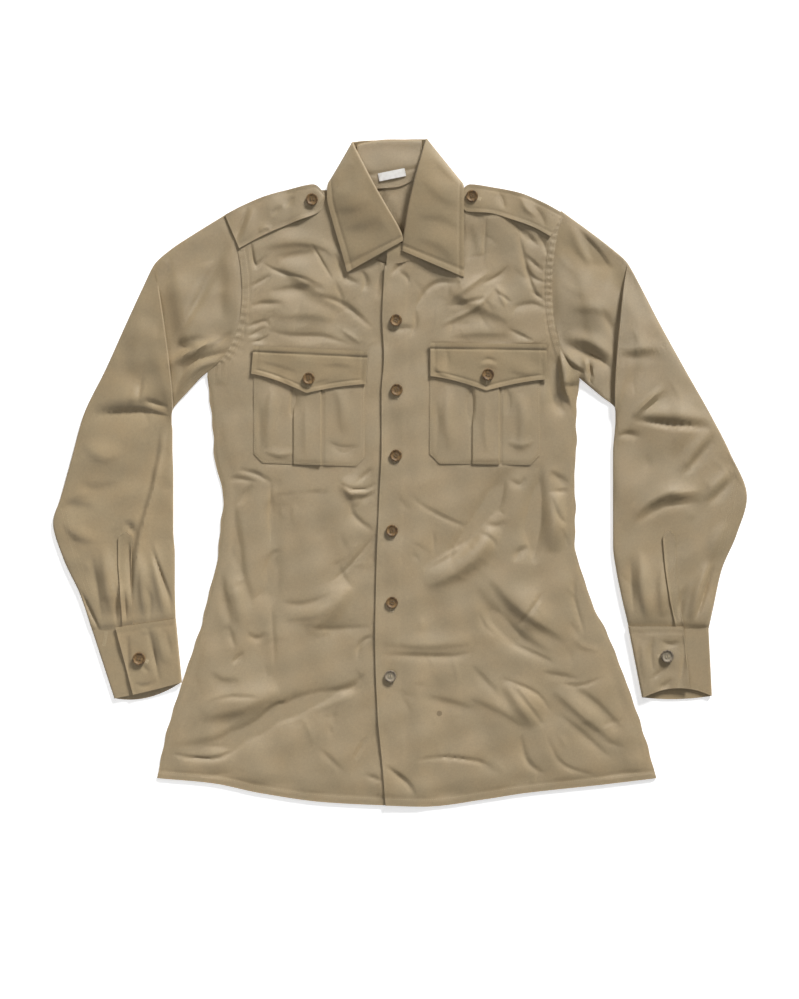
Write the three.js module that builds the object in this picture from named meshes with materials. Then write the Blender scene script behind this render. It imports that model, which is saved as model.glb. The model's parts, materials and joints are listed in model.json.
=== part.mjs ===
// A cotton field shirt with shoulder straps and two flapped pockets, buttoned up the front
// and laid flat on its back.
// Millimetres. +X is to the right as seen from above, +Y is towards the collar, +Z is up.
// The origin is on the table, under the middle of the shirt's outline.
import * as THREE from "three";

// Cloth
const WALL = 1.2;
const CUFF_WALL = 2.0;
const LABEL_WALL = 1.0;
const SEAM_GAP = 0.3;
const LAP_GAP = 0.5;
const BACK_SEAM_GAP = 0.6;
const UNDERARM_DROP = 6;

// Air between the front and the back, and how far from an edge it takes to build up
const PUFF = 1.8;
const EDGE_FADE = 30;
const SHOULDER_AIR = 0.4;

// The front laps right over left, by this far past the middle
const LAP_REACH = 12;
const LAP_LEVEL = 6;
const LAP_SLOPE = 26;

// How far from a point laid cloth feels for what lies under it: about half a panel's cell
const REST_REACH = 9;

// The back and fronts are lifted where the back of the collar leaf lies under them
const COLLAR_LIFT = { height: WALL + SEAM_GAP, halfWidth: 112, fromY: 318, ramp: 32 };

// Grid of the panels
const SIDE_ROWS = 20;
const ARMHOLE_ROWS = 10;
const NECKLINE_ROWS = 4;
const FRONT_COLUMNS = 12;
const BACK_COLUMNS = 12;

// Sleeves are flattened tubes: points over the top, and places of those under it
const SLEEVE_TOP_STEPS = ARMHOLE_ROWS;
const SLEEVE_UNDER_SHARES = [0.96, 0.66, 0.34, 0.04];
const SLEEVE_ROW_LENGTH = 30;

// Buttons
const BUTTON = { diameter: 15, height: 2.6, sides: 14, holeRadius: 1.0, holeSides: 4, holePitch: 2.3 };
const CUFF_BUTTON_DIAMETER = 16;

const KHAKI = { color: 0xa39274, roughness: 0.85, metalness: 0 };
const BUTTON_BROWN = { color: 0x6a5836, roughness: 0.45, metalness: 0 };
const LABEL_WHITE = { color: 0xe6e3dd, roughness: 0.8, metalness: 0 };

// Side seams from the hem to the underarm
const SIDE_SEAMS = [
  { y: -382, left: -304, right: 321 },
  { y: -332, left: -294, right: 307 },
  { y: -272, left: -276, right: 287 },
  { y: -212, left: -256, right: 264 },
  { y: -152, left: -239, right: 237 },
  { y: -92, left: -227, right: 220 },
  { y: -32, left: -222, right: 219 },
  { y: 27, left: -233, right: 220 },
  { y: 87, left: -237, right: 222 },
  { y: 110, left: -240, right: 224 },
];

const HEM = [
  { x: -304, y: -382 }, { x: -237, y: -388 }, { x: -173, y: -401 }, { x: -95, y: -412 },
  { x: -20, y: -416 }, { x: 31, y: -417.5 }, { x: 109, y: -408 }, { x: 154, y: -401 },
  { x: 254, y: -390 }, { x: 321, y: -382 },
];

// Straight edge of the upper front, from the hem to the neck
const FRONT_EDGE = [
  { x: -18, y: -416 }, { x: -22, y: -365 }, { x: -28, y: -301 }, { x: -31, y: -212 },
  { x: -30, y: -141 }, { x: -26, y: -34 }, { x: -23, y: 31 }, { x: -23, y: 101 },
  { x: -20, y: 145 }, { x: -22, y: 194 }, { x: -19, y: 259 },
];

// Front necklines from the middle to the shoulder
const NECKLINE_LEFT = [
  { x: LAP_REACH, y: 256 }, { x: -24, y: 264 }, { x: -46, y: 281 }, { x: -62, y: 305 },
  { x: -72, y: 332 }, { x: -80, y: 354 },
];
const NECKLINE_RIGHT = [
  { x: -19, y: 259 }, { x: 12, y: 267 }, { x: 40, y: 281 }, { x: 58, y: 305 },
  { x: 68, y: 332 }, { x: 78, y: 354 },
];

// Shoulders and the back of the neck, from the left shoulder to the right one
const SHOULDER_LEFT = [
  { x: -222, y: 321 }, { x: -184, y: 339 }, { x: -136, y: 354 }, { x: -80, y: 354 },
];
const BACK_NECK = [
  { x: -80, y: 354 }, { x: -35, y: 358 }, { x: -3, y: 361 }, { x: 21, y: 370 },
  { x: 48, y: 366 }, { x: 78, y: 354 },
];
const SHOULDER_RIGHT = [
  { x: 78, y: 354 }, { x: 120, y: 354 }, { x: 176, y: 339 }, { x: 207, y: 324 },
];

const SHOULDERS = [...SHOULDER_LEFT, ...SHOULDER_RIGHT];

// Sleeves from the armhole to the cuff. outer is the edge away from the body; bulge is how far
// the line across the sleeve bends towards the cuff end of its armhole; height is how thick the
// flattened tube lies. The two close rows are the edge of the fold at the upper arm.
const SLEEVE_LEFT = [
  { outerX: -222, outerY: 321, innerX: -242, innerY: 130, bulge: 36, height: 4.5 },
  { outerX: -256, outerY: 300, innerX: -255, innerY: 117, bulge: 25, height: 5.0 },
  { outerX: -285, outerY: 281, innerX: -267, innerY: 101, bulge: 13, height: 5.0 },
  { outerX: -305, outerY: 264, innerX: -282, innerY: 84, bulge: 4, height: 5.0 },
  { outerX: -308, outerY: 260, innerX: -285, innerY: 79, bulge: 3, height: 9.5 },
  { outerX: -322, outerY: 231, innerX: -286, innerY: 70, bulge: 2, height: 9.5 },
  { outerX: -340, outerY: 192, innerX: -286, innerY: 62, bulge: 1, height: 8.0 },
  { outerX: -367, outerY: 132, innerX: -285, innerY: 54, bulge: 0, height: 7.0 },
  { outerX: -396, outerY: 72, innerX: -285, innerY: 29, bulge: 0, height: 6.5 },
  { outerX: -410, outerY: 22, innerX: -284, innerY: -2, bulge: 0, height: 6.5 },
  { outerX: -425, outerY: -32, innerX: -284, innerY: -40, bulge: 0, height: 6.5 },
  { outerX: -434, outerY: -62, innerX: -284, innerY: -71, bulge: 0, height: 6.5 },
  { outerX: -421, outerY: -107, innerX: -282, innerY: -102, bulge: 0, height: 7.0 },
  { outerX: -400, outerY: -152, innerX: -282, innerY: -140, bulge: 0, height: 8.0 },
  { outerX: -384, outerY: -200, innerX: -281, innerY: -185, bulge: 0, height: 7.0 },
];
const SLEEVE_RIGHT = [
  { outerX: 207, outerY: 324, innerX: 225, innerY: 122, bulge: -27, height: 4.5 },
  { outerX: 244, outerY: 297, innerX: 237, innerY: 110, bulge: -20, height: 5.0 },
  { outerX: 267, outerY: 279, innerX: 254, innerY: 95, bulge: -10, height: 5.0 },
  { outerX: 281, outerY: 267, innerX: 266, innerY: 86, bulge: -4, height: 5.0 },
  { outerX: 285, outerY: 262, innerX: 270, innerY: 81, bulge: -4, height: 9.5 },
  { outerX: 304, outerY: 227, innerX: 270, innerY: 74, bulge: -2, height: 9.5 },
  { outerX: 322, outerY: 192, innerX: 270, innerY: 66, bulge: -1, height: 8.0 },
  { outerX: 355, outerY: 132, innerX: 269, innerY: 51, bulge: 0, height: 7.0 },
  { outerX: 389, outerY: 72, innerX: 267, innerY: 26, bulge: 0, height: 6.5 },
  { outerX: 412, outerY: 27, innerX: 267, innerY: -2, bulge: 0, height: 6.5 },
  { outerX: 434, outerY: -30, innerX: 267, innerY: -50, bulge: 0, height: 6.5 },
  { outerX: 421, outerY: -77, innerX: 267, innerY: -90, bulge: 0, height: 6.5 },
  { outerX: 402, outerY: -122, innerX: 271, innerY: -122, bulge: 0, height: 7.0 },
  { outerX: 392, outerY: -167, innerX: 277, innerY: -152, bulge: 0, height: 8.0 },
  { outerX: 386, outerY: -195, innerX: 287, innerY: -195, bulge: 0, height: 7.0 },
];

// Cuffs: the seam to the sleeve, the lower edge, how far the lower edge of the top and bottom
// layers bows, and where across the cuff its buttoned end and its hidden end stop
const CUFFS = [
  { side: "left", outerX: -384, outerY: -200, innerX: -281, innerY: -185,
    endOuterX: -357, endOuterY: -282, endInnerX: -274, endInnerY: -262,
    bowTop: -1, bowUnder: -9, overEnd: 0.28, underEnd: 0.45 },
  { side: "right", outerX: 386, outerY: -195, innerX: 287, innerY: -195,
    endOuterX: 390, endOuterY: -279, endInnerX: 304, endInnerY: -281,
    bowTop: 11, bowUnder: -3, overEnd: 0.32, underEnd: 0.5 },
];
const CUFF_ROWS = 4;
const CUFF_TURN = 0.03;

// Placket strips at the sleeve openings, by their place along and across the sleeve
const SLEEVE_PLACKETS = [
  { side: "left", fromRow: 11.15, toRow: 13.93, fromAcross: 0.61, toAcross: 0.42, width: 0.12 },
  { side: "right", fromRow: 10.67, toRow: 13.9, fromAcross: 0.57, toAcross: 0.36, width: 0.1 },
];

const PLACKET_ROWS = 8;
const PLACKET_POINT = 0.15;

// Collar leaf, a row for each section from the left front end round the back to the right one:
// the roll line, the cut edge, and how sharply the cloth turns down at the roll
const COLLAR_LEAF = [
  { rollX: 4, rollY: 290, rollZ: 10.5, edgeX: -66, edgeY: 251, edgeZ: 6.2, turn: 1 },
  { rollX: -4, rollY: 307, rollZ: 12.5, edgeX: -74, edgeY: 280, edgeZ: 6.8, turn: 1 },
  { rollX: -18, rollY: 331, rollZ: 14.0, edgeX: -84, edgeY: 314, edgeZ: 8.0, turn: 1 },
  { rollX: -34, rollY: 359, rollZ: 14.5, edgeX: -91, edgeY: 343, edgeZ: 9.4, turn: 1 },
  { rollX: -48, rollY: 386, rollZ: 12.0, edgeX: -91, edgeY: 354, edgeZ: 8.8, turn: 1 },
  { rollX: -58, rollY: 407, rollZ: 7.5, edgeX: -90, edgeY: 361, edgeZ: 7.2, turn: 1 },
  { rollX: -60, rollY: 413, rollZ: 4.4, edgeX: -87, edgeY: 365, edgeZ: 3.6, turn: 2 },
  { rollX: -54, rollY: 414, rollZ: 3.2, edgeX: -80, edgeY: 362, edgeZ: 0.6, turn: 6 },
  { rollX: -44, rollY: 415, rollZ: 3.0, edgeX: -62, edgeY: 350, edgeZ: 0.6, turn: 10 },
  { rollX: -14, rollY: 416, rollZ: 3.0, edgeX: -15, edgeY: 347, edgeZ: 0.6, turn: 10 },
  { rollX: 18, rollY: 417, rollZ: 3.0, edgeX: 40, edgeY: 350, edgeZ: 0.6, turn: 10 },
  { rollX: 28, rollY: 417, rollZ: 3.2, edgeX: 70, edgeY: 362, edgeZ: 0.6, turn: 6 },
  { rollX: 34, rollY: 417, rollZ: 4.4, edgeX: 76, edgeY: 364, edgeZ: 3.6, turn: 2 },
  { rollX: 32, rollY: 410, rollZ: 7.5, edgeX: 79, edgeY: 360, edgeZ: 7.2, turn: 1 },
  { rollX: 27, rollY: 392, rollZ: 12.0, edgeX: 80, edgeY: 353, edgeZ: 9.0, turn: 1 },
  { rollX: 20, rollY: 366, rollZ: 14.5, edgeX: 80, edgeY: 340, edgeZ: 9.6, turn: 1 },
  { rollX: 12, rollY: 332, rollZ: 14.0, edgeX: 80, edgeY: 308, edgeZ: 8.4, turn: 1 },
  { rollX: 7, rollY: 301, rollZ: 12.5, edgeX: 80, edgeY: 274, edgeZ: 6.8, turn: 1 },
  { rollX: 4, rollY: 277, rollZ: 10.5, edgeX: 80, edgeY: 245, edgeZ: 6.2, turn: 1 },
];
const LEAF_COLUMNS = 6;
const LEAF_TURN_SPACING = 1.5;

// Collar stand in the same order: its seam on the neckline, and its upper edge inside the roll.
// seamLevel names what the seam lies on.
const COLLAR_STAND = [
  { seamX: -32, seamY: 266, seamLevel: "front", topX: -6, topY: 291, topZ: 8.0 },
  { seamX: -46, seamY: 279, seamLevel: "front", topX: -12, topY: 305, topZ: 9.6 },
  { seamX: -62, seamY: 303, seamLevel: "front", topX: -24, topY: 328, topZ: 11.2 },
  { seamX: -70, seamY: 330, seamLevel: "front", topX: -39, topY: 354, topZ: 11.6 },
  { seamX: -62, seamY: 348, seamLevel: "front", topX: -50, topY: 378, topZ: 9.0 },
  { seamX: -38, seamY: 355, seamLevel: "back", topX: -54, topY: 403, topZ: 4.6 },
  { seamX: -3, seamY: 358, seamLevel: "back", topX: -12, topY: 411, topZ: 3.8 },
  { seamX: 22, seamY: 367, seamLevel: "back", topX: 27, topY: 410, topZ: 4.2 },
  { seamX: 46, seamY: 362, seamLevel: "back", topX: 27, topY: 385, topZ: 8.6 },
  { seamX: 62, seamY: 346, seamLevel: "front", topX: 24, topY: 360, topZ: 11.4 },
  { seamX: 66, seamY: 328, seamLevel: "front", topX: 17, topY: 330, topZ: 11.4 },
  { seamX: 57, seamY: 303, seamLevel: "front", topX: 12, topY: 303, topZ: 9.8 },
  { seamX: 36, seamY: 278, seamLevel: "front", topX: 8, topY: 286, topZ: 8.4 },
  { seamX: 6, seamY: 264, seamLevel: "front", topX: 2, topY: 278, topZ: 8.2 },
  { seamX: -17, seamY: 260, seamLevel: "front", topX: -15, topY: 277, topZ: 8.0 },
];
const STAND_COLUMNS = 4;

// Patch pockets: corners, cut corners at the bottom, and the box pleat's two folds
const POCKETS = [
  { side: "left", leftX: -183, rightX: -44, topLeftY: 150, topRightY: 143, bottomLeftY: 13,
    bottomRightY: 8, leftCut: 11, rightCut: 11, pleatLeft: 0.36, pleatRight: 0.605 },
  { side: "right", leftX: 37, rightX: 175, topLeftY: 150, topRightY: 150, bottomLeftY: 12,
    bottomRightY: 10, leftCut: 12, rightCut: 12, pleatLeft: 0.39, pleatRight: 0.63 },
];
const PLEAT_RAISE = 1.3;
const PLEAT_EDGE = 0.008;
const POCKET_ROWS = 7;

const FLAPS = [
  { side: "left", topLeftX: -183, topLeftY: 159, topRightX: -40, topRightY: 152,
    endLeftX: -186, endLeftY: 124, endRightX: -43, endRightY: 111, tipX: -117, tipY: 100 },
  { side: "right", topLeftX: 38, topLeftY: 163, topRightX: 183, topRightY: 161,
    endLeftX: 38, endLeftY: 121, endRightX: 184, endRightY: 117, tipX: 108, tipY: 103 },
];
const FLAP_COLUMNS = 8;
const FLAP_ROWS = 4;
const FLAP_REACH = 14;

// Shoulder straps, from the pointed end at the collar to the armhole
const SHOULDER_STRAPS = {
  left: [
    { upperX: -94, upperY: 350, lowerX: -93, lowerY: 343 },
    { upperX: -109, upperY: 361, lowerX: -101, lowerY: 327 },
    { upperX: -138, upperY: 355, lowerX: -132, lowerY: 314 },
    { upperX: -167, upperY: 347, lowerX: -163, lowerY: 301 },
    { upperX: -194, upperY: 336, lowerX: -185, lowerY: 290 },
    { upperX: -219, upperY: 323, lowerX: -201, lowerY: 281 },
  ],
  right: [
    { upperX: 74, upperY: 350, lowerX: 73, lowerY: 342 },
    { upperX: 88, upperY: 361, lowerX: 84, lowerY: 327 },
    { upperX: 118, upperY: 357, lowerX: 112, lowerY: 325 },
    { upperX: 148, upperY: 351, lowerX: 140, lowerY: 317 },
    { upperX: 176, upperY: 340, lowerX: 166, lowerY: 308 },
    { upperX: 204, upperY: 325, lowerX: 188, lowerY: 296 },
  ],
};
const STRAP_COLUMNS = 3;

const LABEL = { centreX: -10, centreY: 373, length: 34, width: 10, tilt: 0.2 };

const FRONT_BUTTONS = [
  { x: -5, y: 191 }, { x: -4, y: 104 }, { x: -5, y: 22 },
  { x: -10, y: -72 }, { x: -10, y: -162 }, { x: -12, y: -254 },
];
const POCKET_BUTTONS = [{ side: "left", x: -114, y: 118 }, { side: "right", x: 110, y: 123 }];
const STRAP_BUTTONS = [{ side: "left", x: -110, y: 342 }, { side: "right", x: 90, y: 346 }];
const CUFF_BUTTONS = [{ side: "left", x: -326, y: -232 }, { side: "right", x: 334, y: -229 }];

// Main folds of the fronts: a line, its half width, and its height, negative for a trough
const BODY_FOLDS = [
  { x1: 200, y1: 154, x2: 214, y2: 86, width: 12, height: 3.0 },
  { x1: 150, y1: 14, x2: 95, y2: -69, width: 14, height: -1.6 },
  { x1: 95, y1: -69, x2: 25, y2: -121, width: 14, height: -1.6 },
  { x1: 120, y1: -72, x2: 60, y2: -132, width: 16, height: 2.4 },
  { x1: 176, y1: 4, x2: 167, y2: -116, width: 14, height: -1.5 },
  { x1: 195, y1: -20, x2: 190, y2: -100, width: 14, height: 2.0 },
  { x1: 95, y1: -144, x2: 187, y2: -227, width: 15, height: -1.6 },
  { x1: 112, y1: -128, x2: 210, y2: -208, width: 16, height: 2.2 },
  { x1: -287, y1: -345, x2: -179, y2: -314, width: 15, height: -1.6 },
  { x1: -179, y1: -314, x2: -60, y2: -264, width: 15, height: -1.6 },
  { x1: -250, y1: -305, x2: -150, y2: -270, width: 18, height: 2.2 },
  { x1: -117, y1: -200, x2: -60, y2: -140, width: 16, height: 2.0 },
  { x1: -158, y1: -10, x2: -160, y2: -200, width: 14, height: -1.3 },
  { x1: -75, y1: -8, x2: -50, y2: -40, width: 14, height: 1.6 },
  { x1: 130, y1: -262, x2: 170, y2: -318, width: 16, height: 1.8 },
  { x1: -150, y1: 262, x2: -70, y2: 205, width: 16, height: 1.6 },
  { x1: 60, y1: 230, x2: 140, y2: 190, width: 16, height: 1.6 },
];

// Main folds of the sleeves
const SLEEVE_FOLDS = {
  left: [
    { x1: -232, y1: 262, x2: -272, y2: 160, width: 18, height: 1.6 },
    { x1: -320, y1: 190, x2: -330, y2: 120, width: 18, height: 1.6 },
    { x1: -380, y1: 74, x2: -295, y2: 74, width: 12, height: -1.8 },
    { x1: -360, y1: 98, x2: -300, y2: 110, width: 16, height: 1.6 },
    { x1: -292, y1: 58, x2: -304, y2: -10, width: 12, height: 2.6 },
    { x1: -304, y1: -10, x2: -325, y2: -100, width: 12, height: 2.6 },
    { x1: -325, y1: -100, x2: -335, y2: -170, width: 11, height: 2.4 },
    { x1: -372, y1: -90, x2: -362, y2: -170, width: 13, height: 1.8 },
    { x1: -310, y1: -90, x2: -295, y2: -165, width: 11, height: 1.8 },
  ],
  right: [
    { x1: 219, y1: 270, x2: 245, y2: 150, width: 16, height: 1.4 },
    { x1: 275, y1: 150, x2: 330, y2: 156, width: 14, height: -1.8 },
    { x1: 290, y1: 66, x2: 392, y2: 58, width: 13, height: -1.8 },
    { x1: 285, y1: 92, x2: 340, y2: 84, width: 16, height: 1.6 },
    { x1: 355, y1: -4, x2: 395, y2: 46, width: 13, height: -1.6 },
    { x1: 293, y1: -56, x2: 379, y2: -28, width: 14, height: 2.2 },
    { x1: 386, y1: -40, x2: 420, y2: -2, width: 12, height: -1.6 },
    { x1: 392, y1: -116, x2: 372, y2: -180, width: 11, height: 2.4 },
    { x1: 300, y1: -110, x2: 308, y2: -180, width: 12, height: 2.2 },
  ],
};

function mix(a, b, share) {
  return a + (b - a) * share;
}

function smooth(value) {
  return THREE.MathUtils.smoothstep(value, 0, 1);
}

// A named column of a table that is sorted by another of its columns, read between its rows
function readTable(table, key, column, at) {
  const last = table.length - 1;
  let row = 0;
  while (row < last - 1 && at > table[row + 1][key]) row += 1;
  const from = table[row];
  const to = table[row + 1];
  const share = THREE.MathUtils.clamp((at - from[key]) / (to[key] - from[key]), 0, 1);
  return mix(from[column], to[column], share);
}

// Points at even distances along a line of x, y rows, both ends included
function along(rows, steps) {
  const path = new THREE.CurvePath();
  for (let i = 1; i < rows.length; i += 1) {
    const from = new THREE.Vector2(rows[i - 1].x, rows[i - 1].y);
    const to = new THREE.Vector2(rows[i].x, rows[i].y);
    path.add(new THREE.LineCurve(from, to));
  }
  const points = [];
  for (let i = 0; i <= steps; i += 1) points.push(path.getPointAt(i / steps));
  return points;
}

// Height that a list of folds gives at a place
function foldHeight(folds, x, y) {
  let height = 0;
  for (const fold of folds) {
    const dx = fold.x2 - fold.x1;
    const dy = fold.y2 - fold.y1;
    const share = ((x - fold.x1) * dx + (y - fold.y1) * dy) / (dx * dx + dy * dy);
    const held = THREE.MathUtils.clamp(share, 0, 1);
    const away = Math.hypot(x - fold.x1 - held * dx, y - fold.y1 - held * dy);
    height += fold.height * Math.exp(-((away / fold.width) ** 2));
  }
  return height;
}

// How the body lies: the back on the table, and the fronts on the back
function backLift(x, y) {
  const sideways = 1 - (Math.abs(x) - COLLAR_LIFT.halfWidth) / COLLAR_LIFT.ramp;
  const upwards = 1 - (COLLAR_LIFT.fromY - y) / COLLAR_LIFT.ramp;
  return COLLAR_LIFT.height * smooth(sideways) * smooth(upwards);
}

function backTop(x, y) {
  return backLift(x, y) + WALL;
}

// 0 at the side seams, hem and shoulders, 1 well inside them
function insideShare(x, y) {
  const left = readTable(SIDE_SEAMS, "y", "left", y);
  const right = readTable(SIDE_SEAMS, "y", "right", y);
  const pastUnderarm = 3 * Math.max(0, y - SIDE_SEAMS[SIDE_SEAMS.length - 1].y);
  const side = Math.min(x - left, right - x) + pastUnderarm;
  const hem = y - readTable(HEM, "x", "y", x);
  const shoulder = readTable(SHOULDERS, "x", "y", x) - y;
  const shoulderShare = smooth(SHOULDER_AIR + shoulder / EDGE_FADE);
  return smooth(side / EDGE_FADE) * smooth(hem / EDGE_FADE) * shoulderShare;
}

function frontUnderside(x, y) {
  const air = Math.max(0, PUFF + foldHeight(BODY_FOLDS, x, y));
  return backTop(x, y) + SEAM_GAP + air * insideShare(x, y);
}

function lapLift(x) {
  return (WALL + LAP_GAP) * smooth(1 - (x - LAP_REACH - LAP_LEVEL) / LAP_SLOPE);
}

function upperFrontUnderside(x, y) {
  return frontUnderside(x, y) + lapLift(x);
}

function frontTop(x, y) {
  const onUpperFront = x > readTable(FRONT_EDGE, "y", "x", y);
  return (onUpperFront ? upperFrontUnderside(x, y) : frontUnderside(x, y)) + WALL;
}

// Highest point of a surface within reach of a place: cloth laid on it rests there
function highest(top, x, y, reach) {
  let height = -Infinity;
  for (const dx of [-reach, 0, reach]) {
    for (const dy of [-reach, 0, reach]) height = Math.max(height, top(x + dx, y + dy));
  }
  return height;
}

// A closed wall between two grids of points. A wrapped grid joins its last column to its first.
function wallBetween(inner, outer, wrapped) {
  const rows = inner.length;
  const columns = inner[0].length;
  const positions = [];
  const indices = [];
  for (const grid of [inner, outer]) {
    for (const row of grid) for (const point of row) positions.push(point.x, point.y, point.z);
  }
  const at = (layer, row, column) => (layer * rows + row) * columns + (column % columns);
  const quad = (a, b, c, d) => indices.push(a, b, c, a, c, d);
  const spans = wrapped ? columns : columns - 1;
  for (let r = 0; r < rows - 1; r += 1) {
    for (let c = 0; c < spans; c += 1) {
      quad(at(1, r, c), at(1, r, c + 1), at(1, r + 1, c + 1), at(1, r + 1, c));
      quad(at(0, r, c), at(0, r + 1, c), at(0, r + 1, c + 1), at(0, r, c + 1));
    }
  }
  for (let c = 0; c < spans; c += 1) {
    quad(at(0, 0, c), at(0, 0, c + 1), at(1, 0, c + 1), at(1, 0, c));
    quad(at(0, rows - 1, c), at(1, rows - 1, c), at(1, rows - 1, c + 1), at(0, rows - 1, c + 1));
  }
  if (!wrapped) {
    const end = columns - 1;
    for (let r = 0; r < rows - 1; r += 1) {
      quad(at(0, r, 0), at(1, r, 0), at(1, r + 1, 0), at(0, r + 1, 0));
      quad(at(0, r, end), at(0, r + 1, end), at(1, r + 1, end), at(1, r, end));
    }
  }
  if (signedVolume(positions, indices) < 0) indices.reverse();
  const geometry = new THREE.BufferGeometry();
  geometry.setAttribute("position", new THREE.Float32BufferAttribute(positions, 3));
  geometry.setIndex(indices);
  geometry.computeVertexNormals();
  return geometry;
}

function signedVolume(positions, indices) {
  const corner = (i) => new THREE.Vector3().fromArray(positions, indices[i] * 3);
  let volume = 0;
  for (let i = 0; i < indices.length; i += 3) {
    volume += corner(i).dot(corner(i + 1).cross(corner(i + 2))) / 6;
  }
  return volume;
}

// Cloth from a grid of places and the height of its underside at each
function layCloth(grid, underside, wall = WALL) {
  const under = grid.map((row) => row.map((p) => new THREE.Vector3(p.x, p.y, underside(p.x, p.y))));
  const over = under.map((row) => row.map((p) => new THREE.Vector3(p.x, p.y, p.z + wall)));
  return wallBetween(under, over, false);
}

// Cloth of an even thickness about a grid of points in space
function thicken(grid, wall) {
  const rows = grid.length;
  const columns = grid[0].length;
  const offset = (side) => grid.map((row, r) => row.map((point, c) => {
    const before = grid[Math.max(r - 1, 0)][c];
    const after = grid[Math.min(r + 1, rows - 1)][c];
    const lower = row[Math.max(c - 1, 0)];
    const upper = row[Math.min(c + 1, columns - 1)];
    const normal = after.clone().sub(before).cross(upper.clone().sub(lower)).normalize();
    return point.clone().addScaledVector(normal, side * wall / 2);
  }));
  return wallBetween(offset(-1), offset(1), false);
}

// A grid of places inside four edges: left and right run up, bottom and top run from left to right
function fillEdges(left, right, bottom, top) {
  const rows = left.length - 1;
  const columns = bottom.length - 1;
  const lengths = [0];
  for (let r = 1; r <= rows; r += 1) lengths.push(lengths[r - 1] + left[r].distanceTo(left[r - 1]));
  return left.map((leftPoint, r) => bottom.map((bottomPoint, c) => {
    const u = c / columns;
    const v = lengths[r] / lengths[rows];
    const blend = (axis) => {
      const ruled = mix(bottomPoint[axis], top[c][axis], v) + mix(leftPoint[axis], right[r][axis], u);
      const corners = mix(
        mix(left[0][axis], right[0][axis], u),
        mix(left[rows][axis], right[rows][axis], u),
        v,
      );
      return ruled - corners;
    };
    return new THREE.Vector2(blend("x"), blend("y"));
  }));
}

// A line across a sleeve: 0 at its outer edge, 1 at its inner edge
function acrossSleeve(station, share) {
  const bend = Math.max(0, 4 * share * (1 - share)) ** 0.6 * (0.75 + 0.5 * share);
  return new THREE.Vector2(
    mix(station.outerX, station.innerX, share) + station.bulge * bend,
    mix(station.outerY, station.innerY, share),
  );
}

const topShares = [];
const topRise = [];
for (let i = 0; i <= SLEEVE_TOP_STEPS; i += 1) {
  const turn = Math.PI * i / SLEEVE_TOP_STEPS;
  topShares.push((1 - Math.cos(turn)) / 2);
  topRise.push(Math.max(0, Math.sin(turn)) ** 0.4);
}

// Armhole of the body, from the underarm to the shoulder, inwards of the sleeve's end by a gap
function armhole(stations, gap) {
  const start = stations[0];
  const towardsBody = -Math.sign(start.outerX);
  return topShares.map((share) => {
    const point = acrossSleeve(start, share);
    if (share === 1) return point.add(new THREE.Vector2(towardsBody, -UNDERARM_DROP));
    const before = acrossSleeve(start, Math.max(0, share - 0.01));
    const after = acrossSleeve(start, Math.min(1, share + 0.01));
    const along = after.sub(before).normalize();
    const inwards = new THREE.Vector2(-along.y, along.x).multiplyScalar(towardsBody);
    return point.addScaledVector(inwards, gap);
  }).reverse();
}

// Side seam and armhole, from the hem to the shoulder
function sideEdge(side, stations, gap, seamSteps) {
  const seam = SIDE_SEAMS.map((row) => ({ x: row[side], y: row.y }));
  const arm = armhole(stations, gap);
  seam.push(arm[0]);
  return [...along(seam, seamSteps), ...arm.slice(1)];
}

function hemPoints(fromX, toX, steps) {
  const points = [];
  for (let i = 0; i <= steps; i += 1) {
    const x = mix(fromX, toX, i / steps);
    points.push(new THREE.Vector2(x, readTable(HEM, "x", "y", x)));
  }
  return points;
}

function frontLeft() {
  const outer = sideEdge("left", SLEEVE_LEFT, SEAM_GAP, SIDE_ROWS);
  const straight = [{ x: LAP_REACH, y: FRONT_EDGE[0].y }, NECKLINE_LEFT[0]];
  const rows = SIDE_ROWS + ARMHOLE_ROWS - NECKLINE_ROWS;
  const inner = [...along(straight, rows), ...along(NECKLINE_LEFT, NECKLINE_ROWS).slice(1)];
  const hem = hemPoints(HEM[0].x, LAP_REACH, FRONT_COLUMNS);
  const top = along([outer[outer.length - 1], ...SHOULDER_LEFT.slice(1)], FRONT_COLUMNS);
  const grid = fillEdges(outer, inner, hem, top);
  return layCloth(grid, frontUnderside);
}

function frontRight() {
  const outer = sideEdge("right", SLEEVE_RIGHT, SEAM_GAP, SIDE_ROWS);
  const rows = SIDE_ROWS + ARMHOLE_ROWS - NECKLINE_ROWS;
  const inner = [...along(FRONT_EDGE, rows), ...along(NECKLINE_RIGHT, NECKLINE_ROWS).slice(1)];
  const hem = hemPoints(FRONT_EDGE[0].x, HEM[HEM.length - 1].x, FRONT_COLUMNS);
  const top = along([...SHOULDER_RIGHT.slice(0, -1), outer[outer.length - 1]], FRONT_COLUMNS);
  const grid = fillEdges(inner, outer, hem, top);
  return layCloth(grid, upperFrontUnderside);
}

function back() {
  const left = sideEdge("left", SLEEVE_LEFT, BACK_SEAM_GAP, SIDE_ROWS / 2);
  const right = sideEdge("right", SLEEVE_RIGHT, BACK_SEAM_GAP, SIDE_ROWS / 2);
  const hem = hemPoints(HEM[0].x, HEM[HEM.length - 1].x, BACK_COLUMNS);
  const top = along([
    left[left.length - 1], ...SHOULDER_LEFT.slice(1, -1), ...BACK_NECK,
    ...SHOULDER_RIGHT.slice(1, -1), right[right.length - 1],
  ], BACK_COLUMNS);
  return layCloth(fillEdges(left, right, hem, top), backLift);
}

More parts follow.
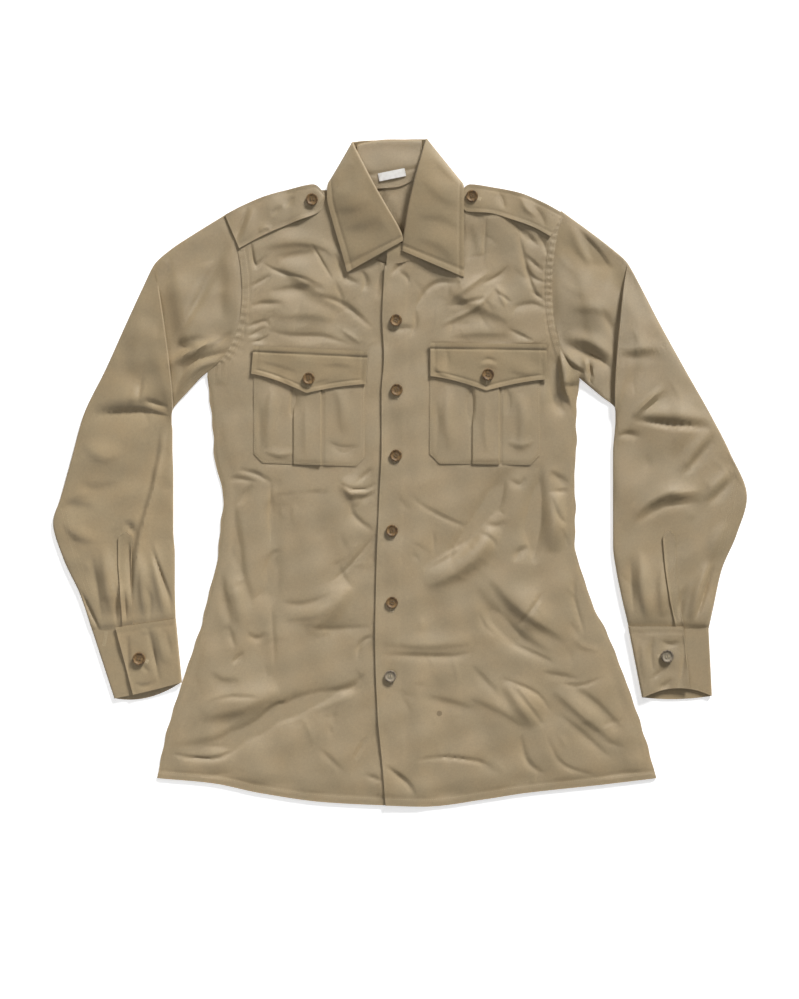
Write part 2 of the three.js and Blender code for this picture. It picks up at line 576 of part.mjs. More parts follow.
// Stations of a sleeve, filled in between the rows of its table
function sleeveStations(table) {
  const stations = [table[0]];
  for (let i = 1; i < table.length; i += 1) {
    const from = table[i - 1];
    const to = table[i];
    const length = Math.max(
      Math.hypot(to.outerX - from.outerX, to.outerY - from.outerY),
      Math.hypot(to.innerX - from.innerX, to.innerY - from.innerY),
    );
    const steps = Math.ceil(length / SLEEVE_ROW_LENGTH);
    for (let step = 1; step <= steps; step += 1) stations.push(between(from, to, step / steps));
  }
  return stations;
}

function between(from, to, share) {
  const row = {};
  for (const column of Object.keys(from)) row[column] = mix(from[column], to[column], share);
  return row;
}

function sleeveTop(station, folds, place, rise, inset) {
  const lift = Math.max(foldHeight(folds, place.x, place.y), 2 * WALL + SEAM_GAP - station.height);
  const half = station.height / 2;
  return new THREE.Vector3(place.x, place.y, half + (half - inset + lift) * rise);
}

function stepTowards(point, target, distance) {
  point.addScaledVector(target.clone().sub(point).normalize(), distance);
}

// A sleeve's ring of points at one station, moved inwards by inset
function sleeveRing(station, folds, inset) {
  const places = topShares.map((share) => acrossSleeve(station, share));
  const last = places.length - 1;
  stepTowards(places[0], places[1], inset);
  stepTowards(places[last], places[last - 1], inset);
  const ring = places.map((place, i) => sleeveTop(station, folds, place, topRise[i], inset));
  for (const share of SLEEVE_UNDER_SHARES) {
    const place = acrossSleeve(station, share);
    ring.push(new THREE.Vector3(place.x, place.y, inset));
  }
  return ring;
}

function sleeve(table, folds) {
  const stations = sleeveStations(table);
  const inner = stations.map((station) => sleeveRing(station, folds, WALL));
  const outer = stations.map((station) => sleeveRing(station, folds, 0));
  return wallBetween(inner, outer, true);
}

function sleevePlacket(placket, table, folds) {
  const grid = [];
  for (let i = 0; i <= PLACKET_ROWS; i += 1) {
    const at = mix(placket.fromRow, placket.toRow, i / PLACKET_ROWS);
    const row = Math.min(Math.floor(at), table.length - 2);
    const station = between(table[row], table[row + 1], at - row);
    const across = mix(placket.fromAcross, placket.toAcross, i / PLACKET_ROWS);
    const half = placket.width / 2 * (i === 0 ? PLACKET_POINT : 1);
    const shares = [across - half, across, across + half];
    grid.push(shares.map((share) => {
      const top = (x, y) => station.height + Math.max(0, foldHeight(folds, x, y));
      const place = acrossSleeve(station, share);
      return new THREE.Vector3(place.x, place.y, highest(top, place.x, place.y, REST_REACH) + SEAM_GAP);
    }));
  }
  const over = grid.map((row) => row.map((p) => new THREE.Vector3(p.x, p.y, p.z + WALL)));
  return wallBetween(grid, over, false);
}

// A cuff is one band wound round the sleeve's end: from its buttoned end over the top, round the
// inner fold, back along the table, round the outer fold and under the buttoned end
function cuffBand(cuff) {
  const low = CUFF_WALL / 2;
  const middle = low + CUFF_WALL + LAP_GAP;
  const high = middle + CUFF_WALL + LAP_GAP;
  const section = [];
  const layer = (from, to, steps, z, bow) => {
    for (let i = 0; i <= steps; i += 1) section.push({ share: mix(from, to, i / steps), z, bow });
  };
  layer(cuff.overEnd, 1 - CUFF_TURN, 6, high, cuff.bowTop);
  section.push({ share: 1, z: (low + high) / 2, bow: 0 });
  layer(1 - CUFF_TURN, CUFF_TURN, 6, low, cuff.bowUnder);
  section.push({ share: 0, z: (low + middle) / 2, bow: 0 });
  layer(CUFF_TURN, cuff.underEnd, 4, middle, cuff.bowTop);
  return section;
}

function cuffPlace(cuff, share, down, bow) {
  const bend = bow * Math.max(0, 4 * share * (1 - share)) * down;
  const startX = mix(cuff.outerX, cuff.innerX, share);
  const startY = mix(cuff.outerY, cuff.innerY, share) - SEAM_GAP - 0.1;
  const endX = mix(cuff.endOuterX, cuff.endInnerX, share);
  const endY = mix(cuff.endOuterY, cuff.endInnerY, share);
  return new THREE.Vector2(mix(startX, endX, down), mix(startY, endY, down) + bend);
}

function cuffGeometry(cuff) {
  const section = cuffBand(cuff);
  const grid = [];
  for (let row = 0; row <= CUFF_ROWS; row += 1) {
    grid.push(section.map((point) => {
      const place = cuffPlace(cuff, point.share, row / CUFF_ROWS, point.bow);
      return new THREE.Vector3(place.x, place.y, point.z);
    }));
  }
  return thicken(grid, CUFF_WALL);
}

const cuffTopHeight = 3 * CUFF_WALL + 2 * LAP_GAP;

// Collar sections filled in, two for each row of a table
function collarRows(table) {
  const rows = [];
  for (let i = 0; i < table.length - 1; i += 1) {
    const to = table[i + 1];
    rows.push(table[i]);
    const middle = { ...table[i] };
    for (const column of Object.keys(middle)) {
      if (typeof middle[column] === "number") middle[column] = mix(table[i][column], to[column], 0.5);
    }
    rows.push(middle);
  }
  rows.push(table[table.length - 1]);
  return rows;
}

function collarLeaf() {
  const grid = collarRows(COLLAR_LEAF).map((row) => {
    const line = [];
    for (let i = 0; i <= LEAF_COLUMNS; i += 1) {
      const share = (i / LEAF_COLUMNS) ** (row.turn > 1 ? LEAF_TURN_SPACING : 1);
      const drop = (1 - share) ** row.turn;
      line.push(new THREE.Vector3(
        mix(row.rollX, row.edgeX, share),
        mix(row.rollY, row.edgeY, share),
        mix(row.edgeZ, row.rollZ, drop),
      ));
    }
    return line;
  });
  return thicken(grid, WALL);
}

function standSeamHeight(row) {
  const surface = row.seamLevel === "front" ? frontTop : backTop;
  return highest(surface, row.seamX, row.seamY, REST_REACH) + SEAM_GAP + WALL / 2;
}

function collarStand() {
  const rows = COLLAR_STAND.map((row) => ({ ...row, seamZ: standSeamHeight(row) }));
  const grid = rows.map((row) => {
    const line = [];
    for (let i = 0; i <= STAND_COLUMNS; i += 1) {
      const share = i / STAND_COLUMNS;
      line.push(new THREE.Vector3(
        mix(row.seamX, row.topX, share),
        mix(row.seamY, row.topY, share),
        mix(row.seamZ, row.topZ, share),
      ));
    }
    return line;
  });
  return thicken(grid, WALL);
}

function neckLabel() {
  const geometry = new THREE.BoxGeometry(LABEL.length, LABEL.width, LABEL_WALL);
  geometry.rotateZ(LABEL.tilt);
  const standTop = backTop(LABEL.centreX, LABEL.centreY) + SEAM_GAP + WALL;
  const bottom = standTop + 2 * SEAM_GAP;
  geometry.translate(LABEL.centreX, LABEL.centreY, bottom + LABEL_WALL / 2);
  return geometry;
}

// Patch pocket, from its lower edge up, with its box pleat standing proud
function pocketColumns(pocket) {
  const folds = [];
  for (const fold of [pocket.pleatLeft, pocket.pleatRight]) {
    folds.push(fold - PLEAT_EDGE, fold + PLEAT_EDGE);
  }
  const width = pocket.rightX - pocket.leftX;
  const leftCorner = pocket.leftCut / width;
  const rightCorner = 1 - pocket.rightCut / width;
  const half = (from, to) => mix(from, to, 0.5);
  return [
    0, leftCorner, half(leftCorner, folds[0]), folds[0],
    folds[1], half(folds[1], folds[2]), folds[2],
    folds[3], half(folds[3], rightCorner), rightCorner, 1,
  ];
}

function pocketPlace(pocket, across, up) {
  const x = mix(pocket.leftX, pocket.rightX, across);
  const top = mix(pocket.topLeftY, pocket.topRightY, across);
  const bottom = mix(pocket.bottomLeftY, pocket.bottomRightY, across);
  const fromLeft = x - pocket.leftX;
  const fromRight = pocket.rightX - x;
  const cut = Math.max(0, pocket.leftCut - fromLeft, pocket.rightCut - fromRight);
  return new THREE.Vector2(x, mix(bottom + cut, top, up));
}

function pleatRaise(pocket, x) {
  const across = (x - pocket.leftX) / (pocket.rightX - pocket.leftX);
  return across > pocket.pleatLeft && across < pocket.pleatRight ? PLEAT_RAISE : 0;
}

function pocketUnderside(pocket, x, y) {
  return highest(frontTop, x, y, REST_REACH) + SEAM_GAP + pleatRaise(pocket, x);
}

function pocketGeometry(pocket) {
  const grid = [];
  for (let row = 0; row <= POCKET_ROWS; row += 1) {
    grid.push(pocketColumns(pocket).map((across) => pocketPlace(pocket, across, row / POCKET_ROWS)));
  }
  return layCloth(grid, (x, y) => pocketUnderside(pocket, x, y));
}

// Top of a front with its pocket on it
function pocketTop(pocket, x, y) {
  const beside = x < pocket.leftX || x > pocket.rightX;
  if (beside || y > Math.max(pocket.topLeftY, pocket.topRightY)) return frontTop(x, y);
  return pocketUnderside(pocket, x, y) + WALL;
}

function flapGeometry(flap, pocket) {
  const tipShare = (flap.tipX - flap.endLeftX) / (flap.endRightX - flap.endLeftX);
  const grid = [];
  for (let row = 0; row <= FLAP_ROWS; row += 1) {
    const down = row / FLAP_ROWS;
    const line = [];
    for (let column = 0; column <= FLAP_COLUMNS; column += 1) {
      const half = FLAP_COLUMNS / 2;
      const across = column < half ? tipShare * column / half
        : mix(tipShare, 1, (column - half) / half);
      const topX = mix(flap.topLeftX, flap.topRightX, across);
      const topY = mix(flap.topLeftY, flap.topRightY, across);
      const endX = mix(flap.endLeftX, flap.endRightX, across);
      const toTip = across < tipShare ? across / tipShare : (1 - across) / (1 - tipShare);
      const endY = mix(across < tipShare ? flap.endLeftY : flap.endRightY, flap.tipY, toTip);
      line.push(new THREE.Vector2(mix(topX, endX, down), mix(topY, endY, down)));
    }
    grid.push(line);
  }
  return layCloth(grid, (x, y) => flapUnderside(pocket, x, y));
}

function flapUnderside(pocket, x, y) {
  return highest((px, py) => pocketTop(pocket, px, py), x, y, FLAP_REACH) + SEAM_GAP;
}

function strapUnderside(x, y) {
  return highest(frontTop, x, y, REST_REACH) + SEAM_GAP;
}

function shoulderStrap(rows) {
  const grid = [];
  for (let i = 0; i < 2 * rows.length - 1; i += 1) {
    const row = Math.min(Math.floor(i / 2), rows.length - 2);
    const at = between(rows[row], rows[row + 1], i / 2 - row);
    const line = [];
    for (let column = 0; column <= STRAP_COLUMNS; column += 1) {
      const share = column / STRAP_COLUMNS;
      line.push(new THREE.Vector2(mix(at.upperX, at.lowerX, share), mix(at.upperY, at.lowerY, share)));
    }
    grid.push(line);
  }
  return layCloth(grid, strapUnderside);
}

// Four-hole button lying on whatever is under it
function buttonGeometry(place, underside, diameter = BUTTON.diameter) {
  const outline = new THREE.Shape();
  outline.absarc(0, 0, diameter / 2, 0, 2 * Math.PI, false);
  const points = outline.getSpacedPoints(BUTTON.sides).slice(0, BUTTON.sides);
  const disc = new THREE.Shape(points);
  for (const sx of [-1, 1]) {
    for (const sy of [-1, 1]) {
      const hole = [];
      for (let i = 0; i < BUTTON.holeSides; i += 1) {
        const turn = -2 * Math.PI * i / BUTTON.holeSides;
        hole.push(new THREE.Vector2(
          sx * BUTTON.holePitch / 2 + BUTTON.holeRadius * Math.cos(turn),
          sy * BUTTON.holePitch / 2 + BUTTON.holeRadius * Math.sin(turn),
        ));
      }
      disc.holes.push(new THREE.Path(hole));
    }
  }
  const geometry = new THREE.ExtrudeGeometry(disc, {
    depth: BUTTON.height, bevelEnabled: false, curveSegments: 1,
  });
  geometry.translate(place.x, place.y, underside + SEAM_GAP);
  return geometry;
}

const group = new THREE.Group();

function addPiece(name, geometry, finish = KHAKI) {
  const mesh = new THREE.Mesh(geometry, new THREE.MeshStandardMaterial(finish));
  mesh.name = name;
  group.add(mesh);
}

const sleeveTables = { left: SLEEVE_LEFT, right: SLEEVE_RIGHT };
const buttonReach = BUTTON.diameter / 2;

addPiece("back", back());
addPiece("front_left", frontLeft());
addPiece("front_right", frontRight());
for (const side of ["left", "right"]) {
  addPiece(`sleeve_${side}`, sleeve(sleeveTables[side], SLEEVE_FOLDS[side]));
}
for (const placket of SLEEVE_PLACKETS) {
  const { side } = placket;
  const geometry = sleevePlacket(placket, sleeveTables[side], SLEEVE_FOLDS[side]);
  addPiece(`sleeve_placket_${side}`, geometry);
}
for (const cuff of CUFFS) addPiece(`cuff_${cuff.side}`, cuffGeometry(cuff));
addPiece("collar_stand", collarStand());
addPiece("collar_leaf", collarLeaf());
addPiece("neck_label", neckLabel(), LABEL_WHITE);
POCKETS.forEach((pocket, i) => {
  addPiece(`pocket_${pocket.side}`, pocketGeometry(pocket));
  addPiece(`flap_${pocket.side}`, flapGeometry(FLAPS[i], pocket));
  const place = POCKET_BUTTONS[i];
  const flapTop = (x, y) => flapUnderside(pocket, x, y) + WALL;
  const rest = highest(flapTop, place.x, place.y, buttonReach);
  addPiece(`button_pocket_${pocket.side}`, buttonGeometry(place, rest), BUTTON_BROWN);
});
for (const place of STRAP_BUTTONS) {
  addPiece(`shoulder_strap_${place.side}`, shoulderStrap(SHOULDER_STRAPS[place.side]));
  const strapTop = (x, y) => strapUnderside(x, y) + WALL;
  const rest = highest(strapTop, place.x, place.y, buttonReach);
  addPiece(`button_strap_${place.side}`, buttonGeometry(place, rest), BUTTON_BROWN);
}
for (const place of CUFF_BUTTONS) {
  const geometry = buttonGeometry(place, cuffTopHeight, CUFF_BUTTON_DIAMETER);
  addPiece(`button_cuff_${place.side}`, geometry, BUTTON_BROWN);
}
FRONT_BUTTONS.forEach((place, i) => {
  const rest = highest(frontTop, place.x, place.y, buttonReach);
  addPiece(`button_front_${i + 1}`, buttonGeometry(place, rest), BUTTON_BROWN);
});

export default group;
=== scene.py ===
# %% [markdown]
# A khaki field shirt, buttoned up and laid flat on its back. This lesson dresses the shirt's
# construction model in real cloth: thin shells with folds, seams, stitches and buttons.
# The construction model is loaded first and never moved. Its box is kept, so that the last
# cell can print it beside the box of the finished shirt.

# %% Load the construction model
import math

import bmesh
import bpy
import numpy as np
from mathutils import Matrix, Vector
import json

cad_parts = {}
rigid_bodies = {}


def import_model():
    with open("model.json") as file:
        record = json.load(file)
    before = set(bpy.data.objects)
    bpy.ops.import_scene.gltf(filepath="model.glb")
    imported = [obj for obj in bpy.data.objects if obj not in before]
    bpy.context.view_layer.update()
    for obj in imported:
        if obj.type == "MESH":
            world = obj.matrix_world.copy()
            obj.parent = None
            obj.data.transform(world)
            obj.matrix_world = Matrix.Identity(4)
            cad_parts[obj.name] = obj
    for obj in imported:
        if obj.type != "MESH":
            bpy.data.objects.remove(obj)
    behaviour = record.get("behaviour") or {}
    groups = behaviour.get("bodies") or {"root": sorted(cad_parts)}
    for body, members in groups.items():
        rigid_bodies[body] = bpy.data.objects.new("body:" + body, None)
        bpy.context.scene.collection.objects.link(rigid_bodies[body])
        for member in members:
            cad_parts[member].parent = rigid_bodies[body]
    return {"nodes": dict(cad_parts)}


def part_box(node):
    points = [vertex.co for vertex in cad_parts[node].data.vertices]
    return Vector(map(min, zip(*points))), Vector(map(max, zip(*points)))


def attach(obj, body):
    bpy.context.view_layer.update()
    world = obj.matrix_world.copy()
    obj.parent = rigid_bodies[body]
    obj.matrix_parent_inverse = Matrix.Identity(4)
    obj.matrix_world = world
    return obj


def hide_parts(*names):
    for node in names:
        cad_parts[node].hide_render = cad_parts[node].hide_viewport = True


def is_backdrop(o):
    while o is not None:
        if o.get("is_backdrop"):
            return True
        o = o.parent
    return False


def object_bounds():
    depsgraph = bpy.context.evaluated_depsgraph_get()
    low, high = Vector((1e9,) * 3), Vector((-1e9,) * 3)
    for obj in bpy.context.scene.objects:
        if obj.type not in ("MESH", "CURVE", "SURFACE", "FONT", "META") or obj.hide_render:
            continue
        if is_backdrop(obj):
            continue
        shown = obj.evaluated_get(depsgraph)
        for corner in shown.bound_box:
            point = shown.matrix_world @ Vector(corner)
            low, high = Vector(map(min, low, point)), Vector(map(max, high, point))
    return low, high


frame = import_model()
cad_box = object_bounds()
bpy.ops.object.select_all(action="DESELECT")

MM = 0.001
SIDES = ("left", "right")
CLOTH = 0.7
TWO_LAYERS = 1.2
SEAM_GAP = 0.3
print("construction nodes:", len(frame["nodes"]))

# %% [markdown]
# Every piece of the shirt is drawn from short tables of real sizes, in millimetres: where an
# edge runs, and how high the cloth lies. A table could be joined by straight lines, which
# leaves corners, or by a free spline, which swings past its rows. This curve does neither: it
# passes through each row and never goes beyond its neighbours.


# %% A smooth curve through the rows of a table
def smooth(value):
    held = np.clip(value, 0, 1)
    return held * held * (3 - 2 * held)


def mix(a, b, share):
    return a + (b - a) * share


def hump(value, middle, width, power=2):
    """1 at the middle, fading to 0 over the width on both sides."""
    return np.exp(-(((value - middle) / width) ** power))


def run_along(xs, ys):
    """How far each row lies along the line through all of them."""
    return np.concatenate([[0], np.cumsum(np.hypot(np.diff(xs), np.diff(ys)))])


def curve(places, values, at):
    places, values = np.asarray(places, float), np.asarray(values, float)
    at = np.asarray(at, float)
    gaps = np.diff(places)
    slopes = np.diff(values) / gaps
    tangent = np.empty_like(values)
    tangent[0], tangent[-1] = slopes[0], slopes[-1]
    same_way = slopes[:-1] * slopes[1:] > 0
    total = np.where(same_way, slopes[:-1] + slopes[1:], 1)
    tangent[1:-1] = np.where(same_way, 2 * slopes[:-1] * slopes[1:] / total, 0)
    i = np.clip(np.searchsorted(places, at) - 1, 0, len(gaps) - 1)
    t = np.clip((at - places[i]) / gaps[i], 0, 1)
    start = (1 + 2 * t) * (1 - t) ** 2 * values[i] + t * (1 - t) ** 2 * gaps[i] * tangent[i]
    end = t * t * (3 - 2 * t) * values[i + 1] - t * t * (1 - t) * gaps[i] * tangent[i + 1]
    return start + end


def read(table, key, column, at):
    return curve(table[key], table[column], at)


def even_points(xs, ys, count):
    """Points at even distances along a line through the rows xs, ys."""
    run = run_along(xs, ys)
    fine = np.linspace(0, run[-1], 40 * len(xs))
    fx, fy = curve(run, xs, fine), curve(run, ys, fine)
    length = run_along(fx, fy)
    at = np.linspace(0, length[-1], count)
    return np.stack([np.interp(at, length, fx), np.interp(at, length, fy)], -1)


# %% [markdown]
# A crease in laid cloth is a long soft ridge or trough that fades out at both ends, and it is
# often steeper on one side. Folds could come from a cloth simulation, but a shirt that was
# laid out by hand has its own folds in its own places, so they are listed one by one: a half
# width, a height that is negative for a trough, and the points of a path, all in millimetres.
# The hands that smooth a shirt push its cloth from the collar down, so troughs are left
# steeper on their collar side, and ridges on the other. LEAN says by how much. A narrow
# crease also has a crisp line along its middle, where the cloth was once pressed. RELIEF says
# how much higher than its table each piece's folds stand, because a soft lamp hides low ones.


# %% Folds placed one by one
LEAN = 0.5
CRISP_WIDTH = 6.6
COLLAR_WAY = (0.35, 0.94)
RELIEF = {"main": 1.4, "creases": 1.25, "sleeve": 2.3, "cuff": 1.6, "leaf": 1.5,
          "pocket": 3.2, "flap": 1.6, "strap": 1.7}


def add_fold(total, x, y, width, height, *path):
    """A row of a table is a half width, a height, and each point's x and y. A fold with uneven
    flanks has (half width, left share, right share) in place of its half width."""
    width, left, right = width if isinstance(width, tuple) else (width, 1.0, 1.0)
    path = np.array(path, float).reshape(-1, 2)
    if len(path) > 2:
        path = even_points(*path.T, 3 * len(path))
    reach = 3.5 * width * max(left, right)
    low, high = path.min(0) - reach, path.max(0) + reach
    near = (x > low[0]) & (x < high[0]) & (y > low[1]) & (y < high[1])
    if not near.any():
        return
    px, py = x[near], y[near]
    lengths, run = np.hypot(*np.diff(path, axis=0).T), run_along(*path.T)
    away = np.full(px.shape, np.inf)
    side, at, facing = np.zeros_like(px), np.zeros_like(px), np.zeros_like(px)
    for i, (start, end) in enumerate(zip(path[:-1], path[1:])):
        step = end - start
        t = np.clip(((px - start[0]) * step[0] + (py - start[1]) * step[1]) / (step @ step), 0, 1)
        dx, dy = px - start[0] - t * step[0], py - start[1] - t * step[1]
        distance = np.hypot(dx, dy)
        nearer = distance < away
        away = np.where(nearer, distance, away)
        side = np.where(nearer, step[0] * dy - step[1] * dx, side)
        at = np.where(nearer, (run[i] + t * lengths[i]) / run[-1], at)
        to_collar = (dx * COLLAR_WAY[0] + dy * COLLAR_WAY[1]) / np.maximum(distance, 1e-6)
        facing = np.where(nearer, to_collar, facing)
    flank = width * np.where(side > 0, left, right)
    flank = flank * (1 + LEAN * facing * math.copysign(1, height))
    fade = np.sin(math.pi * np.clip(at, 0.01, 0.99))
    reached = away / (flank * (0.6 + 0.4 * fade))
    profile = np.exp(-(reached ** 2))
    if width < CRISP_WIDTH:
        tent = np.exp(-1.3 * (np.sqrt(reached ** 2 + 0.03) - 0.17))
        profile = 0.3 * profile + 0.7 * np.maximum(0, tent - 0.015)
    total[near] += height * fade * profile


def fold_height(folds, x, y):
    total = np.zeros_like(np.asarray(x, float))
    for row in folds:
        add_fold(total, x, y, *row)
    return total


# %% [markdown]
# Between the main folds, pressed cotton is never quite flat: it has slow swells a few
# centimetres long and many faint, short creases. Both are drawn at random but from a fixed
# seed, so that every run gives the same shirt.


# %% Faint swells and small creases
SWELL_WAVES = 9
CREASE_LENGTH, CREASE_WIDTH = (12, 45), (2.2, 4.5)


def swells(x, y, seed, height, shortest=28, longest=110):
    random = np.random.RandomState(seed)
    total = np.zeros_like(np.asarray(x, float))
    for _ in range(SWELL_WAVES):
        turn = random.uniform(0, math.pi)
        length = random.uniform(shortest, longest)
        phase = random.uniform(0, 2 * math.pi)
        along = x * math.cos(turn) + y * math.sin(turn)
        total += np.sin(2 * math.pi * along / length + phase) * length / longest
    return height * total / math.sqrt(SWELL_WAVES)


def creased(kind, folds, x, y, seed, **settings):
    """The folds of one kind of piece, with swells between them."""
    return RELIEF[kind] * fold_height(folds, x, y) + swells(x, y, seed, **settings)


def seed_of(side, first):
    """Each side has its own random draw."""
    return first + SIDES.index(side)


def small_creases(seed, count, region, turn, spread, height):
    """region is (left, bottom, right, top); turn is the main direction in degrees."""
    random = np.random.RandomState(seed)
    folds = []
    for _ in range(count):
        cx, cy = random.uniform(region[0], region[2]), random.uniform(region[1], region[3])
        way = math.radians(turn + random.normal(0, spread))
        half = random.uniform(*CREASE_LENGTH) / 2
        bow = random.uniform(-0.25, 0.25) * half
        dx, dy = math.cos(way), math.sin(way)
        sign = 1 if random.rand() < 0.5 else -1
        wide, high = random.uniform(*CREASE_WIDTH), sign * height * random.uniform(0.4, 1)
        flanks = random.uniform(0.6, 1.4), random.uniform(0.6, 1.4)
        folds.append(((wide, *flanks), high, cx - half * dx, cy - half * dy,
                      cx - bow * dy, cy + bow * dx, cx + half * dx, cy + half * dy))
    return folds


print("fold test:", fold_height([(8, 2.0, 0, 0, 40, 0)], np.array([20.0]), np.array([0.0])))

# %% [markdown]
# A sheet of cloth is a grid of points that becomes faces, and then gets its thickness. A
# plane could be subdivided and pushed about, but a grid worked out from the tables puts each
# row of points exactly along a seam. The grid also gives the cloth's own directions, which are
# stored as a UV map for the weave, and how near each point is to an edge, for the wear there.


# %% From a grid of points to a cloth mesh
def grid_lengths(points, axis):
    steps = np.linalg.norm(np.diff(points, axis=axis), axis=-1)
    zero = np.zeros_like(np.take(steps, [0], axis=axis))
    run = np.concatenate([zero, np.cumsum(steps, axis=axis)], axis=axis)
    middle = np.take(run, [run.shape[axis] // 2], axis=axis)
    return run - middle


def grid_faces(rows, columns, wrapped):
    spans = columns if wrapped else columns - 1
    r, c = np.meshgrid(np.arange(rows - 1), np.arange(spans), indexing="ij")
    following = (c + 1) % columns
    corners = [r * columns + c, r * columns + following,
               (r + 1) * columns + following, (r + 1) * columns + c]
    return np.stack(corners, -1).reshape(-1, 4)


def faces_point_out(points, faces, wrapped):
    a, b, c, d = (points[faces[:, i]] for i in range(4))
    normals = np.cross(c - a, d - b)
    if wrapped:
        middle = (a + b + c + d) / 4
        return np.einsum("ij,ij->", normals, middle - points.mean(0)) > 0
    return normals[:, 2].sum() > 0


def new_object(name, data):
    made = bpy.data.objects.new(name, data)
    bpy.context.scene.collection.objects.link(made)
    return made


def select_only(*pieces):
    bpy.ops.object.select_all(action="DESELECT")
    for piece in pieces:
        piece.select_set(True)
    if pieces:
        bpy.context.view_layer.objects.active = pieces[0]


def set_point_values(mesh, name, values):
    layer = mesh.attributes.new(name, "FLOAT", "POINT")
    layer.data.foreach_set("value", np.asarray(values, np.float32).ravel())


def apply_modifier(piece, kind, **settings):
    modifier = piece.modifiers.new(kind.title(), kind)
    for name, value in settings.items():
        setattr(modifier, name, value)
    bpy.context.view_layer.objects.active = piece
    bpy.ops.object.modifier_apply(modifier=modifier.name)


def smooth_shade(piece, degrees=48):
    select_only(piece)
    bpy.ops.object.shade_smooth_by_angle(angle=math.radians(degrees))
    select_only()


def cloth_piece(name, points, wrapped=False, thickness=CLOTH, weave=None, wear_reach=5.0):
    """points is a grid in millimetres; weave is a grid of the cloth's own places, if not its lengths."""
    rows, columns = points.shape[:2]
    flat = points.reshape(-1, 3)
    faces = grid_faces(rows, columns, wrapped)
    if not faces_point_out(flat, faces, wrapped):
        faces = faces[:, ::-1]
    mesh = bpy.data.meshes.new(name)
    mesh.from_pydata((flat * MM).tolist(), [], faces.tolist())
    across, down = grid_lengths(points, 1), grid_lengths(points, 0)
    places = np.stack([across, down], -1) if weave is None else weave
    uv = mesh.uv_layers.new(name="cloth")
    corners = np.empty(len(mesh.loops), np.int32)
    mesh.loops.foreach_get("vertex_index", corners)
    uv.data.foreach_set("uv", (places.reshape(-1, 2)[corners] * MM).astype(np.float32).ravel())
    from_ends = np.minimum(down - down.min(0), down.max(0) - down)
    from_sides = np.minimum(across - across.min(1)[:, None], across.max(1)[:, None] - across)
    edge = from_ends if wrapped else np.minimum(from_ends, from_sides)
    set_point_values(mesh, "wear", 1 - smooth(edge / wear_reach))
    piece = new_object(name, mesh)
    apply_modifier(piece, "SOLIDIFY", thickness=thickness * MM, offset=0)
    smooth_shade(piece)
    print(name, "faces:", len(piece.data.polygons))
    return piece


def pair_of_pieces(name, draw, table, **settings):
    """The left and right piece of a kind. Gives back their grids of points."""
    grids = {side: draw(side, table[side]) for side in SIDES}
    for side, points in grids.items():
        cloth_piece(f"{name}_{side}_cloth", points, **settings)
    return grids


# %% [markdown]
# Sewing is what makes cloth look like a garment. Each stitch is a short bar of thread, thick
# in the middle and sunk into the cloth at both ends. One stitch is modelled by hand from a
# sphere. A line of stitches is then laid along a path on the cloth, and each line is one
# joined mesh, because thousands of separate objects would be slow.

# %% One stitch, modelled once
STITCH = {"length": 2.0, "width": 0.42, "pitch": 2.6, "sink": 0.02}


def start_piece(name):
    piece = bpy.context.object
    piece.name = name
    piece.data.name = name
    return piece


def model_stitch():
    select_only()
    bpy.ops.mesh.primitive_uv_sphere_add(segments=6, ring_count=4, radius=0.5)
    stitch = start_piece("stitch_template")
    bpy.ops.object.mode_set(mode="EDIT")
    bpy.ops.mesh.select_all(action="SELECT")
    bpy.ops.transform.rotate(value=math.pi / 2, orient_axis="Y", center_override=(0, 0, 0))
    bpy.ops.transform.resize(value=(STITCH["length"], STITCH["width"], STITCH["width"]))
    bpy.ops.object.mode_set(mode="OBJECT")
    points = np.array([v.co for v in stitch.data.vertices])
    faces = [list(p.vertices) for p in stitch.data.polygons]
    bpy.data.objects.remove(stitch)
    return points, faces


stitch_points, stitch_faces = model_stitch()
print("stitch faces:", len(stitch_faces))


# %% Lines of stitches on a sheet
def unit(vectors):
    return vectors / np.maximum(np.linalg.norm(vectors, axis=-1, keepdims=True), 1e-9)


def read_points(points, run, at):
    return np.stack([np.interp(at, run, points[:, k]) for k in range(3)], -1)


def stitch_line(path, ups, pitch=STITCH["pitch"], size=1.0):
    """Places of stitches along a path of points in space. ups points away from the cloth."""
    steps = np.linalg.norm(np.diff(path, axis=0), axis=1)
    run = np.concatenate([[0], np.cumsum(steps)])
    count = max(2, int(run[-1] / pitch))
    at = (np.arange(count) + 0.5) * run[-1] / count
    place, up = read_points(path, run, at), unit(read_points(ups, run, at))
    forward = unit(read_points(path, run, at + 0.8) - read_points(path, run, at - 0.8))
    aside = unit(np.cross(up, forward))
    raised = np.cross(forward, aside)
    place = place + up * (CLOTH / 2 - STITCH["sink"] + STITCH["width"] / 4)
    local = stitch_points * size
    return (place[:, None] + local[None, :, :1] * forward[:, None]
            + local[None, :, 1:2] * aside[:, None] + local[None, :, 2:] * raised[:, None])


def on_grid(points, row, column):
    """Places and upward directions on a grid at whole or part rows and columns."""
    rows, columns = points.shape[:2]
    row, column = np.broadcast_arrays(np.asarray(row, float), np.asarray(column, float))
    r = np.clip(np.floor(row).astype(int), 0, rows - 2)
    c = np.clip(np.floor(column).astype(int), 0, columns - 2)
    t, u = (row - r)[:, None], (column - c)[:, None]
    a, b = points[r, c], points[r, c + 1]
    d, e = points[r + 1, c], points[r + 1, c + 1]
    place = mix(mix(a, b, u), mix(d, e, u), t)
    normal = unit(np.cross(b - a + e - d, d - a + e - b))
    normal = normal * np.where(normal[:, 2:] < 0, -1, 1)
    return place, normal


stitch_groups = {}


def sew(group, path, ups, **settings):
    stitch_groups.setdefault(group, []).append(stitch_line(path, ups, **settings))


